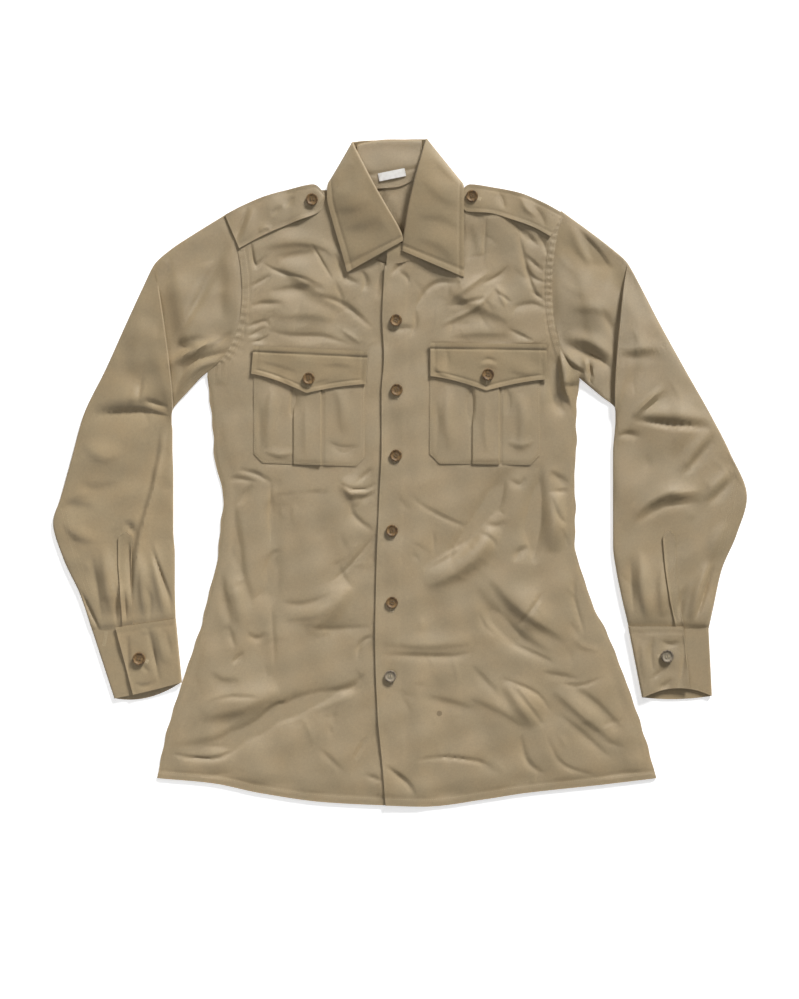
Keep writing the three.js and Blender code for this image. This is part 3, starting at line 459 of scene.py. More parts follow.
def sew_along(group, points, inset, side, start=0.0, end=1.0, **settings):
    """A stitch line at an even distance inside one edge of a grid."""
    across, down = grid_lengths(points, 1), grid_lengths(points, 0)
    rows, columns = points.shape[:2]
    lines = {"left": (across - across[:, :1], 1), "right": (across[:, -1:] - across, 1),
             "bottom": (down - down[:1], 0), "top": (down[-1:] - down, 0)}
    distance, axis = lines[side]
    if axis == 1:
        row = np.linspace(start, end, 3 * rows) * (rows - 1)
        near = np.round(row).astype(int)
        column = np.array([np.interp(inset, *ordered(distance[r])) for r in near])
    else:
        column = np.linspace(start, end, 3 * columns) * (columns - 1)
        near = np.round(column).astype(int)
        row = np.array([np.interp(inset, *ordered(distance[:, c])) for c in near])
    path, ups = on_grid(points, row, column)
    sew(group, path, ups, **settings)


def ordered(distances):
    order = np.argsort(distances)
    return distances[order], order.astype(float)

# %% [markdown]
# The body is a back and two fronts. The fronts lie on the back with a little air between, and
# the right front laps over the left one under the buttons. Each panel is filled in between
# its four edges, so that its rows follow the side seam, the armhole and the neck.

# %% Sizes of the body
WALL = 1.2
LAP_GAP = 0.5
PUFF = 1.8
EDGE_FADE = 30
LAP_REACH = 12
LAP_LEVEL, LAP_SLOPE = 6, 26
COLLAR_LIFT = {"height": 1.5, "half_width": 112, "from_y": 318, "ramp": 32}
UNDERARM_Y = 110

SIDE_SEAMS = {
    "y": [-382, -332, -272, -212, -152, -92, -32, 27, 87, 110],
    "left": [-304, -294, -276, -256, -239, -227, -222, -233, -237, -240],
    "right": [321, 307, 287, 264, 237, 220, 219, 220, 222, 224],
}
HEM = {
    "x": [-304, -237, -173, -95, -20, 31, 109, 154, 254, 321],
    "y": [-382, -388, -401, -412, -416, -417.5, -408, -401, -390, -382],
}
HEM_ENDS = (HEM["x"][0], HEM["x"][-1])
FRONT_EDGE = {
    "y": [-416, -365, -301, -212, -141, -34, 31, 101, 145, 194, 259],
    "x": [-18, -22, -28, -31, -30, -26, -23, -23, -20, -22, -19],
}
NECKLINE = {
    "left": {"x": [12, -24, -46, -62, -72, -80], "y": [256, 264, 281, 305, 332, 354]},
    "right": {"x": [-19, 12, 40, 58, 68, 78], "y": [259, 267, 281, 305, 332, 354]},
}
SHOULDERS = {
    "x": [-222, -184, -136, -80, 78, 120, 176, 207],
    "y": [321, 339, 354, 354, 354, 354, 339, 324],
}
BACK_NECK = {"x": [-80, -35, -3, 21, 48, 78], "y": [354, 358, 361, 370, 366, 354]}
print("hem width:", HEM_ENDS[1] - HEM_ENDS[0], "mm")

# %% Folds of the body
BODY_FOLDS = [
    ((9, 1.0, 0.3), 3.2, 200, 154, 205, 111, 214, 86, 224, 70),
    (8, -1.6, 191, 150, 196, 120, 196, 96, 206, 72),
    ((12, 0.8, 1.3), -1.8, 150, 14, 129, -12, 95, -69, 67, -100, 25, -121),
    (15, 2.4, 120, -66, 92, -106, 60, -128, 30, -142), (12, -1.5, 176, 4, 167, -71, 167, -116),
    (14, 2.0, 195, -20, 190, -100), ((12, 1.3, 0.8), -1.7, 95, -144, 115, -175, 154, -209, 187, -227),
    (16, 2.2, 112, -128, 150, -168, 210, -208),
    (13, -1.6, -287, -345, -229, -336, -179, -314, -136, -289, -34, -264),
    (18, 2.2, -250, -305, -200, -292, -150, -270), (16, 2.2, -117, -200, -60, -140),
    (14, -1.2, -158, -10, -160, -200), (14, 1.6, -75, -8, -50, -40), (14, 1.8, 130, -262, 170, -318),
    (16, 1.6, -150, 262, -70, 205), (16, 1.6, 60, 230, 140, 190),
]
BODY_CREASES = [
    # the belly of the upper front
    (2.6, -1.2, 14, -27, 26, -39, 95, -73), (3, -1.1, 98, -74, 112, -80, 124, -94),
    (3.5, -1.6, 131, -12, 119, -48, 110, -56), (4, -1.2, 136, -8, 150, -14, 158, -4),
    (5, -1.2, 104, -64, 120, -66, 134, -60), (5, -1.6, 162, -92, 150, -98, 144, -112),
    (2.4, -1.4, 146, -196, 182, -146), ((6.5, 1.3, 0.8), -2.2, 176, 16, 165, -116),
    (9, 1.3, -20, -212, 30, -215, 92, -211), (5, -1.7, -22, -227, 60, -229, 92, -224),
    (6, -1.8, 186, 2, 215, -15), (2.2, -1.1, 186, -23, 218, -22),
    (3.5, -1.5, 190, -30, 197, -50, 206, -60, 216, -60), (3, -1.2, 200, -68, 221, -102),
    (4, -1.5, 221, -128, 218, -146, 231, -202), (3.2, 1.1, 34, -118, 86, -88),
    # its lower half
    (5, -1.3, 134, -210, 194, -238), (5, -1.2, 176, -249, 222, -257),
    (2.2, -1.1, 200, -263, 222, -266, 252, -256), (7, -1.5, 212, -266, 235, -280, 280, -324),
    (9, 1.9, 190, -270, 272, -338), (2.4, -1.4, 124, -255, 172, -276, 191, -302),
    (2.6, -1.4, 139, -263, 182, -318), (6, -1.3, 198, -300, 264, -357),
    (9, 1.5, 84, -278, 124, -294, 164, -319), (7, -1.2, 30, -280, 96, -296),
    (2.4, -1.6, 18, -360, 50, -355, 102, -361, 124, -380),
    (3.6, -1.9, 151, -328, 156, -352, 165, -366, 182, -377),
    (2.4, -1.2, 183, -328, 202, -363, 248, -380), (3, -1.3, 244, -379, 312, -372),
    ((3.4, 0.7, 1.5), -2.2, -19, -364, 14, -392, 19, -406), (5, -1.1, 88, -240, 124, -278),
    # the belly of the lower front
    (2.6, -1.6, -204, 5, -180, 0, -159, -13), (3, -1.5, -216, -12, -205, -6, -178, -11),
    (4, -1.7, -206, -43, -184, -13), ((2.8, 1.4, 0.7), -1.9, -162, -12, -162, -90),
    (3.2, -1.8, -148, -96, -158, -101, -168, -130), (8, -2.4, -210, -28, -199, -120, -183, -170),
    (7, -2.1, -227, -124, -211, -192), (7, 1.4, -208, -138, -198, -196),
    (2.6, -1.6, -78, -8, -68, -17, -58, -20, -45, -20, -30, -13),
    (3.4, -1.6, -72, -22, -60, -32, -45, -31, -30, -23),
    (2.6, 1.1, -74, -15, -60, -26, -45, -26, -30, -19),
    (4, -1.6, -62, -30, -60, -48, -50, -60, -31, -73), (3, -1.5, -55, -12, -33, 7),
    (2.4, -1.4, -29, -75, -65, -118, -90, -139),
    (6, -1.3, -150, -162, -125, -164, -100, -158, -84, -149),
    (9, 1.3, -146, -182, -112, -178, -84, -164), (5, -1.2, -122, -191, -90, -195, -34, -192),
    (4, -1.4, -192, -200, -178, -207, -166, -200), (3.0, -1.1, -161, -160, -156, -242),
    (6, -2.6, -252, -341, -225, -342, -200, -333, -180, -319, -60, -263, -38, -249),
    (3, -1.5, -176, -311, -162, -294, -148, -287, -135, -295),
    (3.4, -1.9, -288, -349, -260, -356, -235, -357, -193, -339),
    (3.6, -1.5, -78, -274, -60, -268, -48, -257),
    (2.6, -1.6, -53, -234, -50, -215, -40, -206, -29, -204), (3, -1.5, -211, -239, -195, -223),
    (8, -1.3, -238, -250, -220, -262, -198, -262), (2.6, -1.1, -228, -283, -205, -279, -178, -281),
    (4, -1.4, -215, -190, -206, -220), (4, -1.7, -288, -377, -255, -380, -212, -375),
    (2.4, -1.2, -59, -362, -41, -328), (4, -1.1, -100, -345, -70, -374),
    (3.2, -1.4, -44, -377, -20, -385), (9, 1.1, -128, -302, -52, -276),
    # the chest of the lower front
    (2.8, -1.6, -172, 263, -155, 254, -112, 242), (2.6, -1.7, -187, 290, -180, 260, -166, 273),
    (2.6, -1.2, -110, 287, -84, 241), (3.6, -2.0, -108, 224, -74, 214, -34, 181),
    (3, -1.2, -81, 240, -70, 213), (7, -1.6, -164, 227, -116, 232, -94, 228),
    (5, -1.1, -130, 246, -92, 230), (4.4, -1.7, -187, 209, -168, 213, -146, 212),
    (2.6, -1.4, -188, 233, -161, 248), (2.8, -1.6, -192, 183, -168, 191, -163, 183),
    (3, -1.3, -190, 171, -168, 183), (2.6, -1.3, -187, 164, -175, 166, -164, 173),
    (5, -1.5, -167, 179, -130, 172, -105, 172, -60, 160), (12, 1.6, -160, 196, -120, 200, -80, 192),
    (7, -1.4, -154, 269, -104, 277), (9, 1.9, -172, 283, -130, 289, -98, 284, -80, 270),
    (5, -2.1, -82, 276, -66, 244, -48, 237), (4, -2.2, -47, 254, -42, 240, -47, 227),
    (4, -1.2, -24, 264, -29, 216), (2.4, 1.1, -76, 180, -46, 160),
    # the chest of the upper front
    (2.6, -1.1, 108, 320, 104, 258), (3.2, -1.9, 149, 298, 166, 232, 177, 216),
    (5, -2.1, 144, 313, 174, 284), (4, -1.6, 136, 260, 127, 250, 102, 236), (5, 1.8, 112, 252, 58, 212),
    (3.2, -1.5, 60, 209, 112, 220), (3.2, 1.6, 117, 228, 98, 209, 48, 183),
    (4, 1.5, 120, 236, 132, 206), (2.6, -1.4, 118, 229, 140, 213),
    (5, -1.4, 140, 198, 148, 209, 165, 212, 184, 205), (3.6, -1.9, 18, 203, 36, 232, 52, 240, 78, 238),
    (3.2, -1.4, 19, 206, 20, 190, 14, 168), (2.6, -1.4, -2, 253, 8, 246, 11, 236),
    (4, -1.8, -12, 248, 8, 268), (5, -1.6, -22, 181, 20, 182), (3, -1.4, 156, 274, 180, 252),
    (2.6, -1.4, 158, 260, 166, 246, 182, 238), (2.6, -1.1, 162, 230, 182, 216),
    (3, -1.2, 134, 181, 168, 165), (9, 1.3, 60, 172, 100, 176, 140, 174),
    (7, -1.2, 84, 262, 90, 290, 86, 312), (4, -1.4, 172, 300, 180, 288, 184, 272),
]
BODY_CREASES += small_creases(11, 50, (-290, -400, -40, 0), 60, 35, 0.65)
BODY_CREASES += small_creases(12, 50, (-30, -400, 300, 0), 125, 35, 0.65)
BODY_CREASES += small_creases(13, 26, (-215, 160, -30, 330), 25, 30, 0.45)
BODY_CREASES += small_creases(14, 26, (20, 165, 200, 330), 140, 30, 0.45)
print("body folds:", len(BODY_FOLDS), "and creases:", len(BODY_CREASES))

# %% [markdown]
# Sleeves come before the body's mesh, because the armhole is the line where both meet. Each
# sleeve is a flattened tube. Its table has a row for each section from the armhole to the
# cuff, with the outer and inner edge and how far the line across bends. SLEEVE_HEIGHT says how
# thick each row lies, on both sleeves.

# %% Sizes of the sleeves
SLEEVES = {
    "left": {
        "outer_x": [-222, -256, -285, -305, -308, -322, -340, -367, -396, -410, -425, -434,
                    -421, -400, -384],
        "outer_y": [321, 300, 281, 264, 260, 231, 192, 132, 72, 22, -32, -62, -107, -152, -200],
        "inner_x": [-242, -255, -267, -282, -285, -286, -286, -285, -285, -284, -284, -284,
                    -282, -282, -281],
        "inner_y": [130, 117, 101, 84, 79, 70, 62, 54, 29, -2, -40, -71, -102, -140, -185],
        "bulge": [36, 25, 13, 4, 3, 2, 1, 0, 0, 0, 0, 0, 0, 0, 0],
    },
    "right": {
        "outer_x": [207, 244, 267, 281, 285, 304, 322, 355, 389, 412, 434, 421, 402, 392, 386],
        "outer_y": [324, 297, 279, 267, 262, 227, 192, 132, 72, 27, -30, -77, -122, -167, -195],
        "inner_x": [225, 237, 254, 266, 270, 270, 270, 269, 267, 267, 267, 267, 271, 277, 287],
        "inner_y": [122, 110, 95, 86, 81, 74, 66, 51, 26, -2, -50, -90, -122, -152, -195],
        "bulge": [-27, -20, -10, -4, -4, -2, -1, 0, 0, 0, 0, 0, 0, 0, 0],
    },
}
SLEEVE_HEIGHT = [4.5, 5, 5, 5, 9.5, 9.5, 8, 7, 6.5, 6.5, 6.5, 6.5, 7, 8, 7]
FOLD_ROW = 4

for table in SLEEVES.values():
    middle_x = (np.array(table["outer_x"]) + table["inner_x"]) / 2 + table["bulge"]
    middle_y = (np.array(table["outer_y"]) + table["inner_y"]) / 2
    table["run"] = run_along(middle_x, middle_y)
    table["row"] = np.arange(len(middle_x))


def across_sleeve(side, run, share):
    """Places on the line across a sleeve: share is 0 at its outer edge and 1 at its inner one."""
    table = SLEEVES[side]
    bend = np.clip(4 * share * (1 - share), 0, 1) ** 0.6 * (0.75 + 0.5 * share)
    ox, oy = read(table, "run", "outer_x", run), read(table, "run", "outer_y", run)
    ix, iy = read(table, "run", "inner_x", run), read(table, "run", "inner_y", run)
    bulge = read(table, "run", "bulge", run)
    return mix(ox, ix, share) + bulge * bend, mix(oy, iy, share)


print("sleeve length:", round(float(SLEEVES["left"]["run"][-1])), "mm")


# %% How the body lies
def back_lift(x, y):
    sideways = smooth(1 - (np.abs(x) - COLLAR_LIFT["half_width"]) / COLLAR_LIFT["ramp"])
    upwards = smooth(1 - (COLLAR_LIFT["from_y"] - y) / COLLAR_LIFT["ramp"])
    return COLLAR_LIFT["height"] * sideways * upwards


def side_distance(x, y):
    """How far inside the nearer side seam a place is. Above the underarm it grows fast."""
    left, right = read(SIDE_SEAMS, "y", "left", y), read(SIDE_SEAMS, "y", "right", y)
    return np.minimum(x - left, right - x) + 3 * np.maximum(0, y - UNDERARM_Y)


def inside_share(x, y):
    hem = y - read(HEM, "x", "y", x)
    shoulder = read(SHOULDERS, "x", "y", x) - y
    return (smooth(side_distance(x, y) / EDGE_FADE) * smooth(hem / EDGE_FADE)
            * smooth(0.4 + shoulder / EDGE_FADE))


def plain_front(x, y):
    """Middle of the front's cloth, with its main folds alone."""
    air = np.maximum(0, PUFF + fold_height(BODY_FOLDS, x, y))
    return back_lift(x, y) + WALL + SEAM_GAP + WALL / 2 + air * inside_share(x, y)


def lap_lift(side, x):
    """The right front is raised where it laps over the left one."""
    if side == "left":
        return 0
    return (WALL + LAP_GAP) * smooth(1 - (x - LAP_REACH - LAP_LEVEL) / LAP_SLOPE)


def seam_roll(x, y):
    """The cloth turns down to the back along a side seam."""
    return -0.9 * (1 - smooth(side_distance(x, y) / 5))


HEM_DEPTH = 8.5
HEM_RISE = 0.45


def hem_band(x, y):
    """A hem turned up twice is thicker, and its stitches pull it in."""
    up = y - read(HEM, "x", "y", x)
    band = HEM_RISE * (1 - smooth((up - HEM_DEPTH + 0.8) / 1.6))
    return band - 0.35 * hump(up - HEM_DEPTH, 0.6, 1.3)


print("front height at the chest:", round(float(plain_front(np.array([100.0]), np.array([0.0]))[0]), 2))

# %% [markdown]
# Pockets, flaps and straps press the cloth under them flat, so the small creases fade out
# there. Where a curved seam is sewn, its longer edge is eased in and puckers between the
# stitches: short waves along the seam, which die out a centimetre away from it.

# %% Where pockets lie, and puckers along a seam
POCKETS = {
    "left": {"left_x": -183, "right_x": -44, "top_y": (150, 143), "bottom_y": (13, 8),
             "cut": 11, "pleat": (0.36, 0.605)},
    "right": {"left_x": 37, "right_x": 175, "top_y": (150, 150), "bottom_y": (12, 10),
              "cut": 12, "pleat": (0.39, 0.63)},
}
FLAPS = {
    "left": {"top": [(-183, 159), (-40, 152)], "end": [(-186, 124), (-43, 111)], "tip": (-117, 100)},
    "right": {"top": [(38, 163), (183, 161)], "end": [(38, 121), (184, 117)], "tip": (108, 103)},
}


def covered_share(x, y):
    """1 under a pocket or its flap, 0 away from them."""
    share = np.zeros_like(x)
    for pocket in POCKETS.values():
        sideways = np.minimum(x - pocket["left_x"], pocket["right_x"] - x)
        upwards = np.minimum(y - min(pocket["bottom_y"]), max(pocket["top_y"]) + 12 - y)
        share = np.maximum(share, smooth(np.minimum(sideways, upwards) / 8 + 0.4))
    return share


PUCKER = {"pitch": 8.5, "height": 0.5, "reach": 9.0}


def puckers(along, away, seed):
    """Small waves that the thread of a seam pulls into the cloth beside it."""
    random = np.random.RandomState(seed)
    drift = sum(np.sin(along / random.uniform(14, 40) + random.uniform(0, 6)) for _ in range(4))
    wave = np.sin(2 * math.pi * along / PUCKER["pitch"] + 1.6 * drift)
    strength = 0.6 + 0.4 * np.sin(along / 31 + random.uniform(0, 6))
    return PUCKER["height"] * strength * wave * hump(away, 0, PUCKER["reach"]) * smooth(away / 2)


def grid_between(left, right, bottom, top):
    """A grid inside four edges. left and right run up, bottom and top run from left to right."""
    steps = np.hypot(*np.diff(left, axis=0).T)
    v = np.concatenate([[0], np.cumsum(steps)]) / steps.sum()
    u = np.linspace(0, 1, len(bottom))
    v, u = v[:, None, None], u[None, :, None]
    ruled = mix(bottom[None], top[None], v) + mix(left[:, None], right[:, None], u)
    corners = mix(mix(left[0], right[0], u), mix(left[-1], right[-1], u), v)
    return ruled - corners


def with_height(plan, height):
    return np.concatenate([plan, np.broadcast_to(height, plan.shape[:2])[..., None]], -1)


print("puckers:", np.round(puckers(np.arange(0.0, 30.0, 6.0), np.full(5, 4.0), 1), 2))

# %% Edges of the panels
SIDE_ROWS, ARM_ROWS, NECK_ROWS = 224, 106, 62
FRONT_COLUMNS, BACK_COLUMNS = 138, 110
ARM_OVERLAP = 1.4


def armhole_line(side, overlap):
    """From the underarm to the shoulder, lapped over the sleeve by a little."""
    share = np.linspace(1, 0, 400)
    x, y = across_sleeve(side, np.zeros_like(share), share)
    path = np.stack([x, y], -1)
    ahead = np.gradient(path, axis=0)
    outwards = np.stack([ahead[:, 1], -ahead[:, 0]], -1) * (-1 if side == "left" else 1)
    path = path + unit(outwards) * overlap
    return even_points(*path[::8].T, ARM_ROWS)


def side_line(side, overlap=ARM_OVERLAP):
    seam = even_points(SIDE_SEAMS[side], SIDE_SEAMS["y"], SIDE_ROWS + 1)
    at = seam[:, 1]
    ripple = 0.7 * np.sin(at / 5.3) * np.sin(at / 41)
    waves = 0.9 * np.sin(at / 13 + len(side)) * smooth((at + 260) / 90)
    seam[:, 0] += (ripple + waves) * smooth((at + 385) / 20) * smooth((UNDERARM_Y - at) / 20)
    arm = armhole_line(side, overlap)
    corner = seam[-1] + (arm[0] - seam[-1]) * 0.5
    return np.concatenate([seam, corner[None], arm[1:]])


def hem_line(from_x, to_x, count):
    x = np.linspace(from_x, to_x, count)
    return np.stack([x, read(HEM, "x", "y", x)], -1)


def shoulder_line(corner, side):
    if side == "left":
        line = [[corner[k], *SHOULDERS[key][1:4]] for k, key in enumerate("xy")]
    else:
        line = [[*SHOULDERS[key][4:7], corner[k]] for k, key in enumerate("xy")]
    return even_points(*line, FRONT_COLUMNS + 1)


def inner_line(straight_x, straight_y, neck):
    rows = SIDE_ROWS + ARM_ROWS + 1 - NECK_ROWS
    straight = even_points(straight_x, straight_y, rows)
    curved = even_points(neck["x"], neck["y"], NECK_ROWS + 1)
    return np.concatenate([straight, curved[1:]])


front_plans = {}
left_edge = side_line("left")
inner = inner_line([LAP_REACH] * 2, [FRONT_EDGE["y"][0], NECKLINE["left"]["y"][0]], NECKLINE["left"])
front_plans["left"] = grid_between(
    left_edge, inner, hem_line(HEM_ENDS[0], LAP_REACH, FRONT_COLUMNS + 1),
    shoulder_line(left_edge[-1], "left"))
right_edge = side_line("right")
inner = inner_line(FRONT_EDGE["x"], FRONT_EDGE["y"], NECKLINE["right"])
front_plans["right"] = grid_between(
    inner, right_edge, hem_line(FRONT_EDGE["x"][0], HEM_ENDS[1], FRONT_COLUMNS + 1),
    shoulder_line(right_edge[-1], "right"))
print("front grids:", [plan.shape[:2] for plan in front_plans.values()])


# %% The two fronts
def arm_puckers(side, x, y):
    """Puckers on the body's side of an armhole, and the groove of its seam."""
    line = armhole_line(side, ARM_OVERLAP)
    run = run_along(*line.T)
    flat_x, flat_y = x.ravel(), y.ravel()
    near = np.abs(flat_x - line[:, 0].mean()) < 60
    height = np.zeros_like(flat_x)
    away = np.hypot(flat_x[near, None] - line[None, :, 0], flat_y[near, None] - line[None, :, 1])
    nearest = away.argmin(1)
    distance = away.min(1)
    ripple = puckers(run[nearest], distance, seed_of(side, 31))
    seam = 0.35 * hump(distance, 0, 9, power=4) - 0.3 * hump(distance, 9.5, 1.6)
    height[near] = ripple + seam
    return height.reshape(x.shape)


def fine_front(side, x, y):
    """Everything that the front's cloth does above its main folds."""
    open_share = (1 - covered_share(x, y)) * smooth(inside_share(x, y) * 1.6)
    main = RELIEF["main"] * fold_height(BODY_FOLDS, x, y)
    creases = RELIEF["creases"] * fold_height(BODY_CREASES, x, y)
    fine = (main + creases + swells(x, y, 21, height=1.3)) * open_share
    return fine + arm_puckers(side, x, y) + hem_band(x, y) + seam_roll(x, y)


def edge_lift(x, y):
    """The upper front's edge is not pressed down evenly, so it lifts here and there."""
    away = x - read(FRONT_EDGE, "y", "x", y)
    lift = 0.35 + 0.5 * np.sin(y / 37 + 1) ** 2 + 0.3 * np.sin(y / 11.0) * np.sin(y / 53.0)
    facing = 0.25 * (1 - smooth((away - 28) / 3))
    return lift * hump(np.maximum(away, 0), 0, 6) + facing


def front_height(side, x, y):
    height = plain_front(x, y) + fine_front(side, x, y)
    if side == "right":
        height = height + lap_lift(side, x) + edge_lift(x, y)
    return np.maximum(height, back_lift(x, y) + 1.25)


fronts = {}
for side, plan in front_plans.items():
    x, y = plan[..., 0], plan[..., 1]
    fronts[side] = with_height(plan, front_height(side, x, y))
    cloth_piece(f"front_{side}_cloth", fronts[side], weave=plan, wear_reach=2.5)

# %% [markdown]
# The back lies on the table, and its outside is the face that nobody sees, but the shirt may
# be turned over. It has the same hem and armhole seams, and a few slow folds of its own,
# kept shallow because the shirt's weight presses them flat.

# %% The back
BACK_CREASES = [
    (2.6, -1.3, -19, 354, -20, 330), (1.6, -0.6, -17, 347, 16, 352), (5, 0.8, 4, 346, 2, 320, 6, 300),
    (5, -0.9, -8, 342, -10, 318, -6, 296), (3, -1.2, -20, 352, -24, 336, -12, 312),
    (4, -1.1, 12, 352, 14, 330, 8, 306), (3, 1.0, -2, 330, 0, 290),
]
left_edge = side_line("left", overlap=0.6)[::2]
right_edge = side_line("right", overlap=0.6)[::2]
top = [[left_edge[-1][k], *SHOULDERS[key][1:3], *BACK_NECK[key], *SHOULDERS[key][5:7],
        right_edge[-1][k]] for k, key in enumerate("xy")]
back_plan = grid_between(left_edge, right_edge, hem_line(*HEM_ENDS, BACK_COLUMNS + 1),
                         even_points(*top, BACK_COLUMNS + 1))
x, y = back_plan[..., 0], back_plan[..., 1]
back_height = WALL / 2 + back_lift(x, y) + fold_height(BACK_CREASES, x, y)
back_height += 0.35 * (1 - smooth(side_distance(x, y) / 5))
back_points = with_height(back_plan, np.maximum(back_height, CLOTH / 2))
cloth_piece("back_cloth", back_points, weave=back_plan, wear_reach=2.5)

# %% [markdown]
# At the upper arm each sleeve is folded over itself, so that it hangs beside the body. The
# cloth there runs in an S: it dives under the lower sleeve, turns back, comes out at the fold
# and turns again over the top. A height alone can't show that, so each row of points across
# the sleeve gets both a place along the sleeve and a level, and the S is a list of such pairs.

# %% Folds of the sleeves
SLEEVE_FOLDS = {
    "left": [
        (4, -2.2, -339, -84, -335, -168), (3.2, -1.8, -352, -130, -354, -192),
        (2.8, -1.5, -313, -88, -282, -169), (3.2, -1.8, -399, -148, -374, -200),
        (7, 1.6, -326, -98, -318, -182), (4, -1.3, -346, -62, -337, -66, -332, -78),
        (3.6, -1.7, -216, 290, -289, 146), (6, -1.2, -216, 282, -262, 192),
        ((15, 1.4, 0.8), 1.5, -284, 268, -262, 130), (9, -1.0, -222, 270, -224, 220, -220, 190),
        ((2.6, 0.8, 1.4), -1.0, -284, 162, -257, 168, -236, 168),
        ((6, 1.3, 0.6), -2.2, -288, 151, -272, 158, -254, 158),
        ((6, 0.7, 1.3), 2.4, -292, 133, -250, 157, -222, 168), (2.4, -1.0, -234, 159, -209, 177),
        ((5, 1.6, 0.5), -2.2, -283, 99, -263, 136, -213, 153),
        (6, 1.6, -278, 96, -266, 118, -250, 133, -222, 140), (14, 1.3, -320, 200, -334, 120),
        (10, 0.9, -348, 150, -318, 196), (11, 1.3, -384, 84, -340, 92, -306, 94),
        ((4.5, 0.5, 2.2), -2.0, -386, 75, -327, 80, -287, 71),
        ((2.6, 0.7, 1.6), -1.1, -321, 121, -328, 86), ((3.4, 1.4, 0.6), -1.2, -323, 93, -289, 82),
        ((5.5, 0.7, 1.7), 2.4, -292, 60, -305, -10, -325, -86, -336, -168),
        (5, -1.3, -299, 58, -311, -10, -332, -86, -337, -120), (9, 1.6, -372, -90, -360, -178),
        (6, -1.2, -386, -100, -372, -184), ((7, 0.8, 1.2), 1.8, -310, -86, -294, -180),
        (4, -1.2, -312, -84, -284, -176), (8, 1.0, -422, -60, -400, -80, -380, -84),
        (9, -0.9, -430, -50, -410, -40, -380, -46), (12, 1.0, -400, 40, -370, 20, -344, 30),
        (10, -0.8, -404, -10, -380, -20, -350, -14), (5, 1.4, -352, -186, -350, -160, -354, -130),
        (3.2, -1.2, -342, -186, -344, -146), (4, -1.2, -314, -184, -312, -160, -318, -140),
    ],
    "right": [
        ((9, 0.7, 1.4), -1.8, 220, 310, 265, 254), (8, 1.3, 214, 312, 226, 280, 240, 260),
        ((15, 0.8, 1.4), 1.5, 262, 262, 252, 200, 246, 130), (14, 1.0, 219, 270, 236, 210, 245, 160),
        ((5, 1.4, 0.8), -1.2, 251, 207, 271, 170),
        ((3.6, 0.7, 1.6), -1.9, 205, 161, 226, 156, 253, 143, 269, 128),
        (7, 1.7, 204, 168, 228, 166, 256, 152, 270, 138), (7, 0.8, 210, 205, 236, 206, 262, 198),
        ((3.0, 0.6, 1.0), -2.4, 238, 142, 239, 110), (5, 1.8, 232, 146, 231, 112),
        (5, 1.5, 206, 152, 216, 138, 226, 132), (3, -1.2, 214, 140, 222, 130, 234, 126),
        ((4.0, 1.6, 0.8), 1.0, 272, 151, 331, 156), (5, -0.9, 274, 144, 330, 149),
        (8, 0.8, 292, 180, 300, 160, 296, 130), ((4.2, 2.0, 0.5), -1.8, 290, 66, 392, 56),
        (9, 1.2, 288, 74, 396, 66), ((3.6, 0.7, 1.4), 1.4, 290, 70, 331, 109),
        (4, -1.0, 296, 70, 336, 102), (4, -1.2, 272, 46, 286, 50, 302, 46),
        ((5, 1.3, 0.8), -1.5, 355, -4, 395, 46), (7, 1.2, 348, 2, 388, 52),
        (4.2, -1.4, 386, -40, 421, -2), (6, 1.1, 380, -34, 414, 6),
        ((6.5, 1.3, 0.7), 2.0, 292, -56, 312, -38, 336, -27, 379, -26),
        (4.5, -1.3, 294, -64, 316, -48, 340, -38, 380, -36),
        ((4.0, 0.7, 1.4), -2.2, 392, -116, 371, -182), (7, 2.2, 385, -110, 362, -184),
        (8, 1.8, 300, -96, 302, -140, 310, -184), (5, -1.2, 288, -104, 292, -176),
        (6, 1.2, 330, -110, 326, -140, 328, -180), (8, 1.0, 410, -60, 396, -84, 388, -110),
        (14, 0.8, 340, 100, 352, 60, 348, 20), (4, -1.2, 350, -186, 352, -160, 360, -140),
    ],
}
SLEEVE_REGIONS = {"left": ((-425, -190, -215, 300), 70), "right": ((205, -190, 425, 300), 110)}
for side, (region, turn) in SLEEVE_REGIONS.items():
    SLEEVE_FOLDS[side] += small_creases(seed_of(side, 41), 60, region, turn, 40, 0.32)
print("sleeve folds:", {side: len(rows) for side, rows in SLEEVE_FOLDS.items()})

# %% Rows along a sleeve
SLEEVE_STEP, FOLD_STEPS = 3.6, 8
TUCK_IN = 5
UNDERLAP = 13
EDGE_TURN, TOP_TURN = 7, 11
MIDDLE_LEVEL = 0.3
SLEEVE_COLUMNS = 78
UNDER_COLUMNS = 16


def sleeve_rows(table):
    """Rows of (place along the sleeve, share of the underlap, level in the S-fold from 0 to 1)."""
    at_fold, end = table["run"][FOLD_ROW], table["run"][-1] + 2
    rows = [(run, 0.0, 0.0) for run in np.linspace(-TUCK_IN, at_fold, int(at_fold / SLEEVE_STEP))]
    rows += [(at_fold, share, 0.0) for share in np.linspace(0.1, 0.9, FOLD_STEPS)]
    for turn in np.linspace(0, math.pi, EDGE_TURN):
        level = MIDDLE_LEVEL / 2 * (1 - math.cos(turn))
        rows.append((at_fold, 0.92 + 0.08 * math.sin(turn), level))
    rows += [(at_fold, share, MIDDLE_LEVEL) for share in np.linspace(0.85, 0.1, FOLD_STEPS)]
    for turn in np.linspace(0, math.pi, TOP_TURN):
        level = MIDDLE_LEVEL + (1 - MIDDLE_LEVEL) / 2 * (1 - math.cos(turn))
        rows.append((at_fold, -0.10 * math.sin(turn), level))
    steps = int((end - at_fold) / SLEEVE_STEP)
    rows += [(run, 0.0, 1.0) for run in np.linspace(at_fold + 1.5, end, steps)]
    return np.array(rows)


